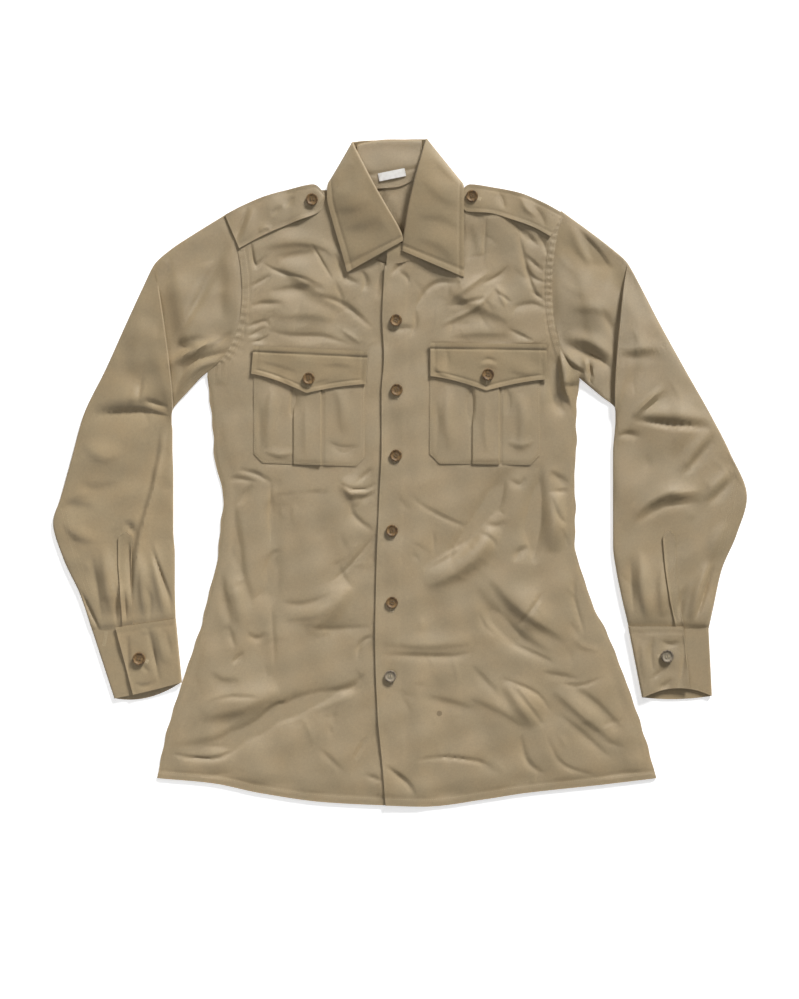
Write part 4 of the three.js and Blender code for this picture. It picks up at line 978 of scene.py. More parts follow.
def sleeve_top(side, run, underlap, level, share):
    """Places of the sleeve's upper layer, in millimetres."""
    table = SLEEVES[side]
    at_fold = table["run"][FOLD_ROW]
    strength = smooth((share - 0.03) / 0.22)
    along = run + underlap * UNDERLAP * strength * (1 - 0.5 * smooth((share - 0.97) / 0.03))
    held = np.maximum(along, 0)
    x, y = across_sleeve(side, held, share)
    x3, y3 = across_sleeve(side, np.full_like(held, 3.0), share)
    x0, y0 = across_sleeve(side, np.zeros_like(held), share)
    x = x + np.minimum(along, 0) / 3 * (x3 - x0)
    y = y + np.minimum(along, 0) / 3 * (y3 - y0)
    valley = 2.5 * hump(np.minimum(run - at_fold, 0), 0, 16) * strength
    upper = 4.3 - 0.9 * (1 - smooth(run / 6)) - valley
    lower = curve(table["run"][FOLD_ROW:], SLEEVE_HEIGHT[FOLD_ROW:], run) - 0.7
    lower = mix(5.2, lower, mix(1, strength, hump(np.maximum(run - at_fold, 0), 0, 40)))
    top = mix(upper, lower, level)
    end = table["run"][-1]
    top = top - 2.4 * smooth((run - end + 9) / 9)
    free = smooth((run - 3) / 10) * (1 - smooth((run - end + 6) / 6)) * (level > 0.9)
    free = np.where(level < 0.05, smooth((run - 3) / 10) * (underlap <= 0), free)
    rise = np.clip(4 * share * (1 - share), 0, 1) ** 0.2
    soft = fold_height(SLEEVE_FOLDS[side], x, y) + swells(x, y, seed_of(side, 51), height=0.6)
    top = top + RELIEF["sleeve"] * soft * free * smooth(rise * 3 - 1.2)
    resting = np.minimum(2.0 + 4.0 * level * smooth(1 - (run - at_fold) / 30) * share, top)
    return x, y, np.maximum(mix(resting, top, rise), 1.3)


top_share = (1 - np.cos(np.linspace(0, math.pi, SLEEVE_COLUMNS))) / 2
under_share = np.linspace(0.985, 0.015, UNDER_COLUMNS)
sleeve_points = {}
for side, table in SLEEVES.items():
    rows = sleeve_rows(table)
    run, underlap, level = (rows[:, [k]] for k in range(3))
    upper = np.stack(sleeve_top(side, run, underlap, level, top_share), -1)
    x, y = across_sleeve(side, np.maximum(run, 0), under_share)
    under = np.stack([x, y, np.full_like(x, CLOTH / 2 + 0.1)], -1)
    sleeve_points[side] = np.concatenate([upper, under], 1)
    cloth_piece(f"sleeve_{side}_cloth", sleeve_points[side], wrapped=True, wear_reach=2.5)

# %% [markdown]
# A cuff is a band of two layers of twill, sewn to the sleeve's end and wound round the wrist
# until its buttoned end lies over its other end. It is drawn as that one wound band: over the
# top, round the inner fold, back along the table, round the outer fold and under the end.

# %% Cuffs
CUFFS = {
    "left": {"start": [(-384, -200), (-281, -185)], "end": [(-357, -282), (-274, -262)],
             "bow_top": -1, "bow_under": -9, "over_end": 0.28, "under_end": 0.45},
    "right": {"start": [(386, -195), (287, -195)], "end": [(390, -279), (304, -281)],
              "bow_top": 11, "bow_under": -3, "over_end": 0.32, "under_end": 0.5},
}
CUFF_FOLDS = {
    "left": [
        (3.4, -1.7, -316, -186, -300, -262), (6, 1.1, -306, -190, -294, -240),
        (3.2, -1.2, -341, -198, -339, -256), (3, -1.0, -334, -262, -320, -266, -304, -260),
        (3, -0.8, -292, -196, -286, -230), (3, 0.9, -330, -194, -322, -198, -312, -196),
        (3, -0.9, -312, -250, -324, -238),
    ],
    "right": [
        (3.4, -1.5, 352, -200, 356, -222, 350, -270), (3.4, -1.3, 318, -204, 314, -226, 318, -252),
        (5, 1.0, 304, -212, 302, -236, 308, -262), (3, -1.0, 326, -210, 340, -214, 350, -210),
        (3, -0.9, 340, -256, 334, -264, 322, -268), (3, -0.8, 330, -244, 314, -258),
    ],
}
CUFF_LEVELS = {"low": 1.0, "middle": 3.5, "high": 6.0}
CUFF_ROWS = 34
CUFF_OVERLAP = 3.0
CUFF_TURNS = (0.015, 0.985)


def cuff_section(cuff):
    """Rows of (share across, sideways step in mm, height, bow) from the buttoned end inwards."""
    low, middle, high = CUFF_LEVELS.values()
    outer, inner = CUFF_TURNS
    rows = [(s, 0, high, cuff["bow_top"]) for s in np.linspace(cuff["over_end"], inner, 34)]
    for turn in np.linspace(0, math.pi, 9)[1:-1]:
        radius = (high - low) / 2
        bow = mix(cuff["bow_top"], cuff["bow_under"], turn / math.pi)
        rows.append((inner, 0.8 * radius * math.sin(turn), low + radius * (1 + math.cos(turn)), bow))
    rows += [(s, 0, low, cuff["bow_under"]) for s in np.linspace(inner, outer, 40)]
    for turn in np.linspace(0, math.pi, 7)[1:-1]:
        radius = (middle - low) / 2
        bow = mix(cuff["bow_under"], cuff["bow_top"], turn / math.pi)
        rows.append((outer, -radius * math.sin(turn), low + radius * (1 - math.cos(turn)), bow))
    rows += [(s, 0, middle, cuff["bow_top"]) for s in np.linspace(outer, cuff["under_end"], 20)]
    return np.array(rows)


def cuff_grid(side, cuff):
    section = cuff_section(cuff)
    outer, inner = np.array(cuff["start"], float)
    end_outer, end_inner = np.array(cuff["end"], float)
    length = np.linalg.norm(end_outer - outer)
    down = np.linspace(-CUFF_OVERLAP / length, 1, CUFF_ROWS)[:, None]
    share, step, height, bow = (section[None, :, k] for k in range(4))
    start = mix(outer, inner, share[..., None])
    finish = mix(end_outer, end_inner, share[..., None])
    plan = mix(start, finish, down[..., None])
    sideways = unit(inner - outer)
    plan = plan + step[..., None] * sideways
    bend = bow * np.maximum(0, 4 * share * (1 - share)) * np.maximum(down, 0)
    plan[..., 1] += bend
    on_top = height > CUFF_LEVELS["high"] - 0.1
    free = on_top * smooth(down * 6) * smooth((1 - share) * 8)
    x, y = plan[..., 0], plan[..., 1]
    lumps = creased("cuff", CUFF_FOLDS[side], x, y, seed_of(side, 61), height=0.7, shortest=18, longest=60)
    dent = -0.3 * hump(down * length, 5, 1.3) * on_top
    end_roll = 0.5 * hump((share - cuff["over_end"]) * 100, 0, 3)
    return with_height(plan, height + lumps * free + dent + end_roll * on_top)


cuff_points = pair_of_pieces("cuff", cuff_grid, CUFFS, thickness=TWO_LAYERS, wear_reach=3)

# %% [markdown]
# Above each cuff the sleeve is slit, and a strip of twill, the placket, binds the slit. It
# lies on the sleeve and ends in a small point, so it takes the sleeve's own surface and is
# raised from it by the thickness of the cloth.

# %% Placket strips at the sleeve openings
PLACKETS = {
    "left": {"rows": (11.15, 14.02), "across": (0.61, 0.42), "width": 0.12},
    "right": {"rows": (10.67, 14.02), "across": (0.57, 0.36), "width": 0.10},
}
PLACKET_STEPS = (52, 13)


def placket_grid(side, placket):
    table = SLEEVES[side]
    down = np.linspace(0, 1, PLACKET_STEPS[0])[:, None]
    across = np.linspace(-0.5, 0.5, PLACKET_STEPS[1])[None, :]
    run = np.interp(mix(*placket["rows"], down), table["row"], table["run"])
    point = smooth(down * 12 + 0.12)
    share = mix(*placket["across"], down) + across * placket["width"] * point
    x, y, z = sleeve_top(side, run, 0, 1, share)
    edge = 0.25 * hump(0.5 - np.abs(across), 0, 0.12)
    return np.stack([x, y, z + 1.2 + edge], -1)


placket_points = pair_of_pieces("sleeve_placket", placket_grid, PLACKETS, thickness=TWO_LAYERS)

# %% [markdown]
# The collar has two parts. The stand rises from the neck seam, and the leaf folds over it and
# lies down on the body, ending in two points. Each is a strip whose rows are sections: one
# from the neck seam to the top of the stand, and one from the roll to the leaf's cut edge.
# The strip is drawn through listed sections, so that the two points stay sharp.

# %% Sizes of the collar
LEAF = {
    "roll_x": [4, -4, -18, -34, -48, -58, -60, -54, -44, -14, 18, 28, 34, 32, 27, 20, 12, 7, 4],
    "roll_y": [290, 307, 331, 359, 386, 407, 413, 414, 415, 416, 417, 417, 417, 410, 392, 366,
               332, 301, 277],
    "roll_z": [9.5, 12, 14, 14.5, 12, 7.5, 4.4, 3.2, 3.0, 3.0, 3.0, 3.2, 4.4, 7.5, 12, 14.5,
               14, 12, 9.5],
    "edge_x": [-66, -74, -84, -91, -91, -90, -87, -80, -62, -15, 40, 70, 76, 79, 80, 80, 80,
               80, 80],
    "edge_y": [251, 280, 314, 343, 354, 361, 365, 362, 350, 347, 350, 362, 364, 360, 353, 340,
               308, 274, 245],
    "edge_z": [6.2, 6.8, 8, 9.4, 8.8, 7.2, 3.6, 0.6, 0.6, 0.6, 0.6, 0.6, 3.6, 7.2, 9, 9.6, 8.4,
               6.8, 6.2],
    "turn": [1, 1, 1, 1, 1, 1, 2, 6, 10, 10, 10, 6, 2, 1, 1, 1, 1, 1, 1],
}
STAND = {
    "seam_x": [-32, -46, -62, -70, -62, -38, -3, 22, 46, 62, 66, 57, 36, 6, -17],
    "seam_y": [266, 279, 303, 330, 348, 355, 358, 367, 362, 346, 328, 303, 278, 264, 260],
    "on_back": [0, 0, 0, 0, 0.2, 1, 1, 1, 1, 0.2, 0, 0, 0, 0, 0],
    "top_x": [-6, -12, -24, -39, -50, -54, -12, 27, 27, 24, 17, 12, 10, 3, -15],
    "top_y": [291, 305, 328, 354, 378, 403, 411, 410, 385, 360, 330, 303, 290, 287, 288],
    "top_z": [7.4, 9, 10.6, 11.2, 9, 4.8, 4.2, 4.6, 8.6, 11, 11, 9.4, 7.8, 7.6, 7.4],
}
LEAF_ROWS, LEAF_COLUMNS = 230, 46
STAND_ROWS, STAND_COLUMNS = 150, 26
ROLL_RADIUS = 1.5

LEAF_FOLDS = [
    (14, -1.1, -70, 300, -46, 302, -22, 314), (12, 0.9, -84, 330, -60, 334, -38, 346),
    (12, 0.8, -72, 270, -44, 276, -14, 296), (9, -0.8, -80, 352, -66, 366, -60, 386),
    (14, 0.9, 74, 262, 52, 286, 22, 296), (14, -1.0, 76, 300, 50, 312, 20, 316),
    (12, 0.7, 76, 336, 56, 344, 30, 366), (9, -0.6, 70, 360, 50, 376, 38, 392),
]


def between_lines(row, first, second, share):
    """Places between two lines of a strip, and how far apart the lines are."""
    (x1, x2), (y1, y2) = ((row[f"{first}_{k}"], row[f"{second}_{k}"]) for k in "xy")
    return mix(x1, x2, share), mix(y1, y2, share), np.hypot(x1 - x2, y1 - y2)


def strip_rows(table, count):
    """The strip's sections, filled in evenly between the rows of its table."""
    rows = len(next(iter(table.values())))
    at = np.linspace(0, rows - 1, count)
    return {name: curve(np.arange(rows), column, at)[:, None] for name, column in table.items()}


# %% The collar leaf
def collar_leaf():
    row = strip_rows(LEAF, LEAF_ROWS)
    share = np.linspace(0, 1, LEAF_COLUMNS)[None, :] ** np.where(row["turn"] > 1.5, 1.5, 1.0)
    x, y, away = between_lines(row, "roll", "edge", share)
    z = mix(row["edge_z"], row["roll_z"], (1 - share) ** row["turn"])
    lying = smooth((row["edge_z"] - 2) / 3)
    crown = 0.9 * np.sin(math.pi * np.clip(share * 1.1, 0, 1)) * lying
    soft = creased("leaf", LEAF_FOLDS, x, y, 71, height=0.5)
    z = z + crown + soft * lying * smooth(share * 6)
    z = z - 0.6 * hump((1 - share) * away, 6.5, 1.5) * lying
    from_end = np.minimum(np.arange(LEAF_ROWS), np.arange(LEAF_ROWS)[::-1])[:, None] * 1.9
    z = z - 0.7 * hump(from_end, 7, 1.7) * lying + 0.3 * hump(from_end, 0, 4)
    flat = np.stack([x, y, np.maximum(z, 0.4)], -1)
    outwards = unit(np.stack([row["roll_x"] - row["edge_x"], row["roll_y"] - row["edge_y"]], -1))
    curl = []
    for turn in np.linspace(math.pi, math.pi / 8, 8):
        radius = ROLL_RADIUS * lying[..., None] + 0.3
        step = outwards * radius * np.sin(turn)
        drop = radius[..., 0] * (1 - np.cos(turn))
        curl.append(np.concatenate([flat[:, :1, :2] + step, flat[:, :1, 2:] - drop[..., None]], -1))
    return np.concatenate([*curl, flat], 1)


leaf_points = collar_leaf()
cloth_piece("collar_leaf_cloth", leaf_points, thickness=TWO_LAYERS, wear_reach=4)


# %% The collar stand
def collar_stand():
    row = strip_rows(STAND, STAND_ROWS)
    share = np.linspace(0, 1, STAND_COLUMNS)[None, :]
    x, y, _ = between_lines(row, "seam", "top", share)
    on_front = plain_front(row["seam_x"], row["seam_y"]) + np.where(row["seam_x"] > -20, 1.5, 0)
    on_back = back_lift(row["seam_x"], row["seam_y"]) + WALL
    seam_z = mix(on_front, on_back, row["on_back"]) + 1.1
    z = mix(seam_z, row["top_z"], share)
    behind = smooth(row["on_back"] * 1.5 - 0.3)
    band = hump(share, 0.34, 0.05) * behind
    z = z - 0.9 * band + 1.5 * behind * np.sin(math.pi * share) ** 2
    z = z + swells(x, y, 72, height=0.5, shortest=20, longest=60) * np.sin(math.pi * share)
    flat = np.stack([x, y, z], -1)
    over = []
    for reach, drop in ((2.5, -0.1), (4.5, 0.1), (5.9, 0.7), (6.4, 1.5), (5.9, 2.4)):
        up = np.concatenate([flat[:, -1:, :1], flat[:, -1:, 1:2] + reach * behind[..., None],
                             flat[:, -1:, 2:] - drop * behind[..., None] - 0.02 * reach], -1)
        over.append(up)
    return np.concatenate([flat, *over], 1)


stand_points = collar_stand()
cloth_piece("collar_stand_cloth", stand_points, wear_reach=2)

# %% [markdown]
# The label inside the neck is a bare piece of white tape, held by a few stitches at each end.
# It is a small sheet of its own, bent a little over the stand that it is sewn to.

# %% The neck label
LABEL = {"centre": (-10, 373), "length": 34, "width": 10, "turn": 0.2, "height": 5.6}
LABEL_COLUMNS, LABEL_ROWS = 35, 12
along, aside = np.meshgrid(*(np.linspace(-0.5, 0.5, n) for n in (LABEL_COLUMNS, LABEL_ROWS)))
lx, ly = along * LABEL["length"], aside * LABEL["width"]
cosine, sine = math.cos(LABEL["turn"]), math.sin(LABEL["turn"])
label_x = LABEL["centre"][0] + lx * cosine - ly * sine
label_y = LABEL["centre"][1] + lx * sine + ly * cosine
label_z = LABEL["height"] + 0.5 * np.cos(math.pi * along) + 0.15 * np.sin(lx * 0.9) * aside
label_points = np.stack([label_x, label_y, label_z], -1)
label = cloth_piece("neck_label_tape", label_points, thickness=0.4)

# %% [markdown]
# Each pocket is a patch with a box pleat down its middle: the cloth is folded under on both
# sides, so the pleat's edges stand over the pocket like a small ledge. The columns of the grid
# run past each edge, come back under it and go on, as the folded cloth does.

# %% Patch pockets
PLEAT_RAISE = 1.2
PLEAT_UNDER = 2.6
POCKET_LIFT = 1.25
POCKET_ROWS, POCKET_COLUMNS, PLEAT_COLUMNS = 70, 26, 18
# from a pocket's side to the middle of its pleat: sideways steps and raises
PLEAT_FOLD = [(PLEAT_UNDER * 0.5, 0.1), (PLEAT_UNDER, 0.1), (PLEAT_UNDER + 0.1, 0.45),
              (PLEAT_UNDER * 0.6, 0.75), (0.2, 0.75), (-0.2, 0.95), (0.1, PLEAT_RAISE),
              (1.0, PLEAT_RAISE + 0.1)]


def pocket_columns(pocket):
    """Rows of (share across, sideways step in mm, raise in mm)."""
    left, right = pocket["pleat"]
    rows = [(s, 0, 0) for s in np.linspace(0, left, POCKET_COLUMNS)]
    rows += [(left, step, raised) for step, raised in PLEAT_FOLD]
    rows += [(s, 0, PLEAT_RAISE) for s in np.linspace(left + 0.02, right - 0.02, PLEAT_COLUMNS)]
    rows += [(right, -step, raised) for step, raised in reversed(PLEAT_FOLD)]
    rows += [(s, 0, 0) for s in np.linspace(right, 1, POCKET_COLUMNS)]
    return np.array(rows)


POCKET_CREASES = {
    "left": [
        ((3.5, 2.4, 0.6), -1.0, -131, 112, -136, 70), (7, 0.7, -160, 110, -166, 30),
        (5, -0.5, -176, 90, -176, 20), (8, 0.6, -80, 106, -72, 80, -70, 50),
        (6, 0.45, -118, 90, -118, 20), (5, 0.5, -170, 28, -150, 22, -130, 26),
        (6, -0.5, -90, 40, -70, 30, -52, 34),
    ],
    "right": [
        ((3.5, 0.6, 2.0), -1.0, 92, 112, 91, 60), (7, 0.7, 60, 110, 58, 70, 62, 30),
        (4, -0.5, 44, 96, 47, 60, 45, 24), (8, 0.7, 150, 100, 154, 60, 150, 24),
        (6, 0.45, 108, 92, 106, 60, 109, 24), (5, -0.6, 132, 108, 136, 92, 134, 70),
        (6, 0.5, 134, 40, 150, 34, 168, 40),
    ],
}


def pocket_grid(side, pocket):
    section = pocket_columns(pocket)
    share, step, raised = (section[None, :, k] for k in range(3))
    up = np.linspace(0, 1, POCKET_ROWS)[:, None]
    x = mix(pocket["left_x"], pocket["right_x"], share) + step * (1 + 0.15 * np.sin(7 * up))
    top, bottom = mix(*pocket["top_y"], share), mix(*pocket["bottom_y"], share)
    from_side = np.minimum(x - pocket["left_x"], pocket["right_x"] - x)
    bottom = bottom + np.maximum(pocket["cut"] - from_side, 0)
    y = mix(bottom, top, up)
    edge = np.minimum(from_side, y - bottom)
    press = -0.45 * hump(edge, 2.6, 1.2) - 0.5 * (1 - smooth(edge / 1.5))
    soft = creased("pocket", POCKET_CREASES[side], x, y, 81, height=0.55)
    width = pocket["right_x"] - pocket["left_x"]
    left, right = (pocket["left_x"] + width * at for at in pocket["pleat"])
    groove = hump(x - left, -1.6, 1.3) + 2.2 * hump(x - right, 1.8, 1.4)
    press = press - 0.45 * groove * (raised < 0.3)
    z = plain_front(x, y) + POCKET_LIFT + raised + press + soft * smooth(edge / 8)
    return np.stack([x, y, z + lap_lift(side, x)], -1)


pocket_points = pair_of_pieces("pocket", pocket_grid, POCKETS, wear_reach=2.5)

# %% [markdown]
# A flap closes each pocket: two layers of twill with a pointed lower edge, buttoned down over
# the pleat. A bent plane would blunt the point, so the columns of its grid meet at the tip. The
# flap lies on the pocket's level and rises where it crosses the pleat.

# %% Pocket flaps
FLAP_ROWS, FLAP_HALF = 40, 36
FLAP_LIFT = 3.0
FLAP_FOLDS = {
    "left": [
        (8, -0.6, -178, 138, -126, 124), (5, 0.7, -150, 122, -132, 108),
        (8, 0.6, -100, 136, -78, 138, -56, 134), (4, -0.6, -112, 110, -88, 116),
    ],
    "right": [
        (3.5, -0.6, 58, 158, 60, 140, 56, 126), (6, 0.8, 42, 136, 52, 124, 64, 118),
        (3.2, -0.7, 100, 138, 110, 143, 122, 138), (5, 0.7, 98, 132, 110, 136, 124, 130),
        (3.5, -0.8, 106, 116, 110, 108, 116, 112), (8, 0.6, 136, 130, 160, 126, 178, 132),
    ],
}


def flap_grid(side, flap):
    pocket = POCKETS[side]
    end_left, end_right = flap["end"]
    tip_share = (flap["tip"][0] - end_left[0]) / (end_right[0] - end_left[0])
    halves = np.linspace(0, tip_share, FLAP_HALF), np.linspace(tip_share, 1, FLAP_HALF)[1:]
    share = np.concatenate(halves)[None, :]
    down = np.linspace(0, 1, FLAP_ROWS)[:, None]
    (top_left, left_y), (top_right, right_y) = flap["top"]
    top_x, top_y = mix(top_left, top_right, share), mix(left_y, right_y, share)
    end_x = mix(end_left[0], end_right[0], share)
    to_tip = np.where(share < tip_share, share / tip_share, (1 - share) / (1 - tip_share))
    side_y = np.where(share < tip_share, end_left[1], end_right[1])
    end_y = mix(side_y, flap["tip"][1], to_tip ** 1.25) + 0.8 * np.sin(math.pi * to_tip)
    x, y = mix(top_x, end_x, down), mix(top_y, end_y, down)
    sideways = np.minimum(x - mix(top_left, end_left[0], down), mix(top_right, end_right[0], down) - x)
    edge = np.minimum(sideways, y - end_y)
    middle = np.mean(pocket["pleat"])
    at = (x - pocket["left_x"]) / (pocket["right_x"] - pocket["left_x"])
    over_pleat = 0.9 * hump(at, middle, 0.17, power=4) * smooth((top_y - y) / 18)
    band = 0.8 * hump(top_y - y, 0, 6.5, power=6) - 0.6 * hump(top_y - y, 7.5, 1.4)
    press = -0.6 * hump(edge, 5.8, 1.5) + 0.2 * hump(edge, 0, 2.5)
    soft = creased("flap", FLAP_FOLDS[side], x, y, 82, height=0.6, shortest=20, longest=70)
    z = plain_front(x, y) + FLAP_LIFT + over_pleat + band + press + soft * smooth(edge / 6)
    return np.stack([x, y, z + lap_lift(side, x)], -1)


flap_points = pair_of_pieces("flap", flap_grid, FLAPS, thickness=TWO_LAYERS, wear_reach=3)

# %% [markdown]
# The shoulder straps are narrow bands of two layers, stitched all round, sewn into the
# armhole seam at one end and buttoned near the collar at their pointed end.

# %% Shoulder straps
STRAPS = {
    "left": {
        "upper_x": [-94, -109, -138, -167, -194, -219], "upper_y": [350, 361, 355, 347, 336, 323],
        "lower_x": [-93, -101, -132, -163, -185, -201], "lower_y": [343, 327, 314, 301, 290, 281],
    },
    "right": {
        "upper_x": [74, 88, 118, 148, 176, 204], "upper_y": [350, 361, 357, 351, 340, 325],
        "lower_x": [73, 84, 112, 140, 166, 188], "lower_y": [342, 327, 325, 317, 308, 296],
    },
}
STRAP_LIFT = 1.6
STRAP_ROWS, STRAP_COLUMNS = 84, 24
STRAP_FOLDS = {
    "left": [
        ((3.0, 1.8, 0.7), -1.3, -190, 333, -208, 288), (6, 1.2, -182, 332, -200, 286),
        (3.4, -0.8, -132, 346, -146, 333), (3.4, -0.8, -148, 334, -162, 322),
        (4, 0.9, -176, 300, -168, 306, -160, 304),
    ],
    "right": [
        (4, -0.8, 124, 352, 132, 330), (6, 1.0, 150, 346, 158, 330, 170, 320),
        (5, -0.7, 168, 334, 178, 320, 182, 306),
    ],
}


def strap_grid(side, table):
    row = strip_rows(table, STRAP_ROWS)
    share = np.linspace(0, 1, STRAP_COLUMNS)[None, :]
    x, y, width = between_lines(row, "upper", "lower", share)
    edge = np.minimum(share, 1 - share) * width
    press = -0.3 * hump(edge, 4.5, 1.2) + 0.2 * hump(edge, 0, 2)
    soft = creased("strap", STRAP_FOLDS[side], x, y, 83, height=0.7, shortest=18, longest=60)
    wavy = 0.5 * np.sin(x / 7.0) * hump(edge, 0, 6)
    z = plain_front(x, y) + STRAP_LIFT + press + soft + wavy
    return np.stack([x, y, z + lap_lift(side, x)], -1)


strap_points = pair_of_pieces("shoulder_strap", strap_grid, STRAPS, thickness=TWO_LAYERS, wear_reach=3)

# %% [markdown]
# The shirt's buttons are moulded plastic discs with a raised rim, a dished middle and four
# holes. One is shaped from a cylinder: the top face is inset and pushed down, the edges are
# rounded, and the holes are cut through. It is then copied to the twelve places.

# %% One button
BUTTON = {"radius": 7.5, "height": 2.6, "rim": 1.7, "slope": 0.7, "dish": 0.75,
          "bevel": 0.45, "hole_radius": 0.95, "pitch": 3.2}


def select_faces(piece, test):
    """In edit mode: selects the faces whose place and direction pass the test."""
    mesh = bmesh.from_edit_mesh(piece.data)
    mesh.normal_update()
    for face in mesh.faces:
        face.select_set(bool(test(face.calc_center_median(), face.normal)))
    mesh.select_flush_mode()
    bmesh.update_edit_mesh(piece.data)


def model_button():
    select_only()
    size = {name: value * MM for name, value in BUTTON.items()}
    bpy.ops.mesh.primitive_cylinder_add(vertices=44, radius=size["radius"], depth=size["height"])
    button = start_piece("button_model")
    bpy.ops.object.mode_set(mode="EDIT")
    bpy.ops.mesh.select_mode(type="FACE")
    select_faces(button, lambda place, normal: normal.z > 0.9)
    bpy.ops.mesh.inset(thickness=size["rim"])
    bpy.ops.mesh.inset(thickness=size["slope"], depth=-size["dish"])
    bpy.ops.mesh.inset(thickness=size["slope"] * 0.5, depth=-size["dish"] * 0.25)
    select_faces(button, lambda place, normal: normal.z < -0.9)
    bpy.ops.mesh.inset(thickness=size["rim"] * 1.4, depth=size["dish"] * 0.6)
    bpy.ops.object.mode_set(mode="OBJECT")
    apply_modifier(button, "BEVEL", width=size["bevel"], segments=3, limit_method="ANGLE",
                   angle_limit=math.radians(40))
    for right, up in ((1, 1), (-1, 1), (-1, -1), (1, -1)):
        select_only()
        place = (right * size["pitch"] / 2, up * size["pitch"] / 2, 0)
        bpy.ops.mesh.primitive_cylinder_add(vertices=14, radius=size["hole_radius"],
                                            depth=2 * size["height"], location=place)
        drill = start_piece("button_drill")
        apply_modifier(button, "BOOLEAN", object=drill, operation="DIFFERENCE", solver="EXACT")
        bpy.data.objects.remove(drill)
    inner = (BUTTON["radius"] - BUTTON["rim"] - BUTTON["slope"] / 2) * MM
    dished = [v.co.xy.length < inner and v.co.z > 0 for v in button.data.vertices]
    set_point_values(button.data, "dish", dished)
    return button


button_model = model_button()
print("button faces:", len(button_model.data.polygons))

# %% [markdown]
# A button is held by two pairs of thread bars through its four holes. A picture of thread
# would lie flat, so each bar is a small cylinder, laid across the dish between two holes.

# %% The thread that holds a button
THREAD = {"radius": 0.27, "rise": 0.35}


def model_button_thread():
    """Two strands through each pair of holes, joined into one mesh."""
    select_only()
    half = BUTTON["pitch"] / 2 * MM
    middle = (BUTTON["height"] / 2 - BUTTON["dish"] * 1.25) * MM
    bars = []
    for side in (-1, 1):
        for strand in (-0.5, 0.5):
            place = (side * half + strand * 0.5 * MM, 0, middle + THREAD["rise"] * MM * 0.5)
            bpy.ops.mesh.primitive_cylinder_add(vertices=8, radius=THREAD["radius"] * MM * 0.8,
                                                depth=2.2 * half, location=place)
            bar = start_piece("button_thread_bar")
            bpy.ops.object.mode_set(mode="EDIT")
            bpy.ops.mesh.select_all(action="SELECT")
            bpy.ops.transform.rotate(value=math.pi / 2, orient_axis="X", center_override=place)
            select_faces(bar, lambda point, normal: abs(normal.y) > 0.9)
            bpy.ops.mesh.inset(thickness=THREAD["radius"] * MM * 0.2, depth=0.1 * MM)
            bpy.ops.transform.translate(value=(0, 0, -THREAD["rise"] * MM))
            bpy.ops.object.mode_set(mode="OBJECT")
            bars.append(bar)
    select_only(*bars)
    bpy.ops.object.join()
    bpy.ops.object.transform_apply(location=True, rotation=True, scale=True)
    return bars[0]


thread_model = model_button_thread()
print("button thread faces:", len(thread_model.data.polygons))

# %% The twelve buttons
BUTTONS = {
    # how far the button and its buttonhole are turned, in degrees
    "front_1": (62, 90), "front_2": (20, 90), "front_3": (48, 90), "front_4": (12, 90),
    "front_5": (80, 90), "front_6": (2, 90), "pocket_left": (6, 90), "pocket_right": (84, 90),
    "strap_left": (8, 35), "strap_right": (15, 160), "cuff_left": (-14, 160), "cuff_right": (4, 0),
}
MOST_TILT = 1.6


def copy_of(model, name, place, turn, scale, tilt):
    """A copy with a mesh of its own, whose points are moved to the place, in metres."""
    mesh = model.data.copy()
    mesh.name = name
    turns = zip((*tilt, turn), "XYZ")
    lean_x, lean_y, spin = (Matrix.Rotation(math.radians(angle), 4, axis) for angle, axis in turns)
    mesh.transform(Matrix.Translation(place) @ lean_x @ lean_y @ spin @ Matrix.Scale(scale, 4))
    piece = new_object(name, mesh)
    smooth_shade(piece, 35)
    return piece


buttons, button_threads = {}, {}
tilts = np.random.RandomState(7).uniform(-MOST_TILT, MOST_TILT, (len(BUTTONS), 2))
for (name, (turn, _)), tilt in zip(BUTTONS.items(), tilts):
    low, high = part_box(f"button_{name}")
    place = (low + high) / 2
    scale = (high.x - low.x) / (2 * BUTTON["radius"] * MM)
    buttons[name] = copy_of(button_model, f"button_{name}_disc", place, turn, scale, tilt)
    button_threads[name] = copy_of(thread_model, f"button_{name}_thread", place, turn, scale, tilt)
bpy.data.objects.remove(button_model)
bpy.data.objects.remove(thread_model)
print("buttons:", len(buttons))

# %% [markdown]
# A buttonhole is a slit whose two edges are worked over with close stitches. Only one end of
# it shows beside its button. The same small stitch is laid across the slit again and again.

# %% Buttonholes
BUTTONHOLE = {"length": 18.5, "row": 1.15, "pitch": 0.62, "drop": 2.6}
SECOND_HOLE = (-369, -207, 80)
# how far around a place its sheet is looked at, and how deep its upper layer is, in mm
NEARBY = {"search": 60, "close": 7.0, "closest": 3, "layer": 2.2}


def cloth_under(grid, x, y):
    """Height and upward direction of the sheet's upper side near each place in the plan."""
    points = grid.reshape(-1, 3)
    near = points[(np.abs(points[:, 0] - x.mean()) < NEARBY["search"] + np.ptp(x))
                  & (np.abs(points[:, 1] - y.mean()) < NEARBY["search"] + np.ptp(y))]
    heights, slopes = [], []
    for a, b in zip(x, y):
        away = np.hypot(near[:, 0] - a, near[:, 1] - b)
        close = near[away < NEARBY["close"]]
        if len(close) < 9:
            close = near[np.argsort(away)[:9]]
        top = close[close[:, 2] > close[:, 2].max() - NEARBY["layer"]]
        plane = np.stack([top[:, 0] - a, top[:, 1] - b, np.ones(len(top))], -1)
        pull = hump(np.hypot(plane[:, 0], plane[:, 1]), 0, NEARBY["closest"])[:, None]
        sx, sy, level = np.linalg.lstsq(plane * pull, top[:, 2] * pull[:, 0], rcond=None)[0]
        heights.append(level)
        slopes.append((-sx, -sy, 1))
    return np.array(heights), unit(np.array(slopes))


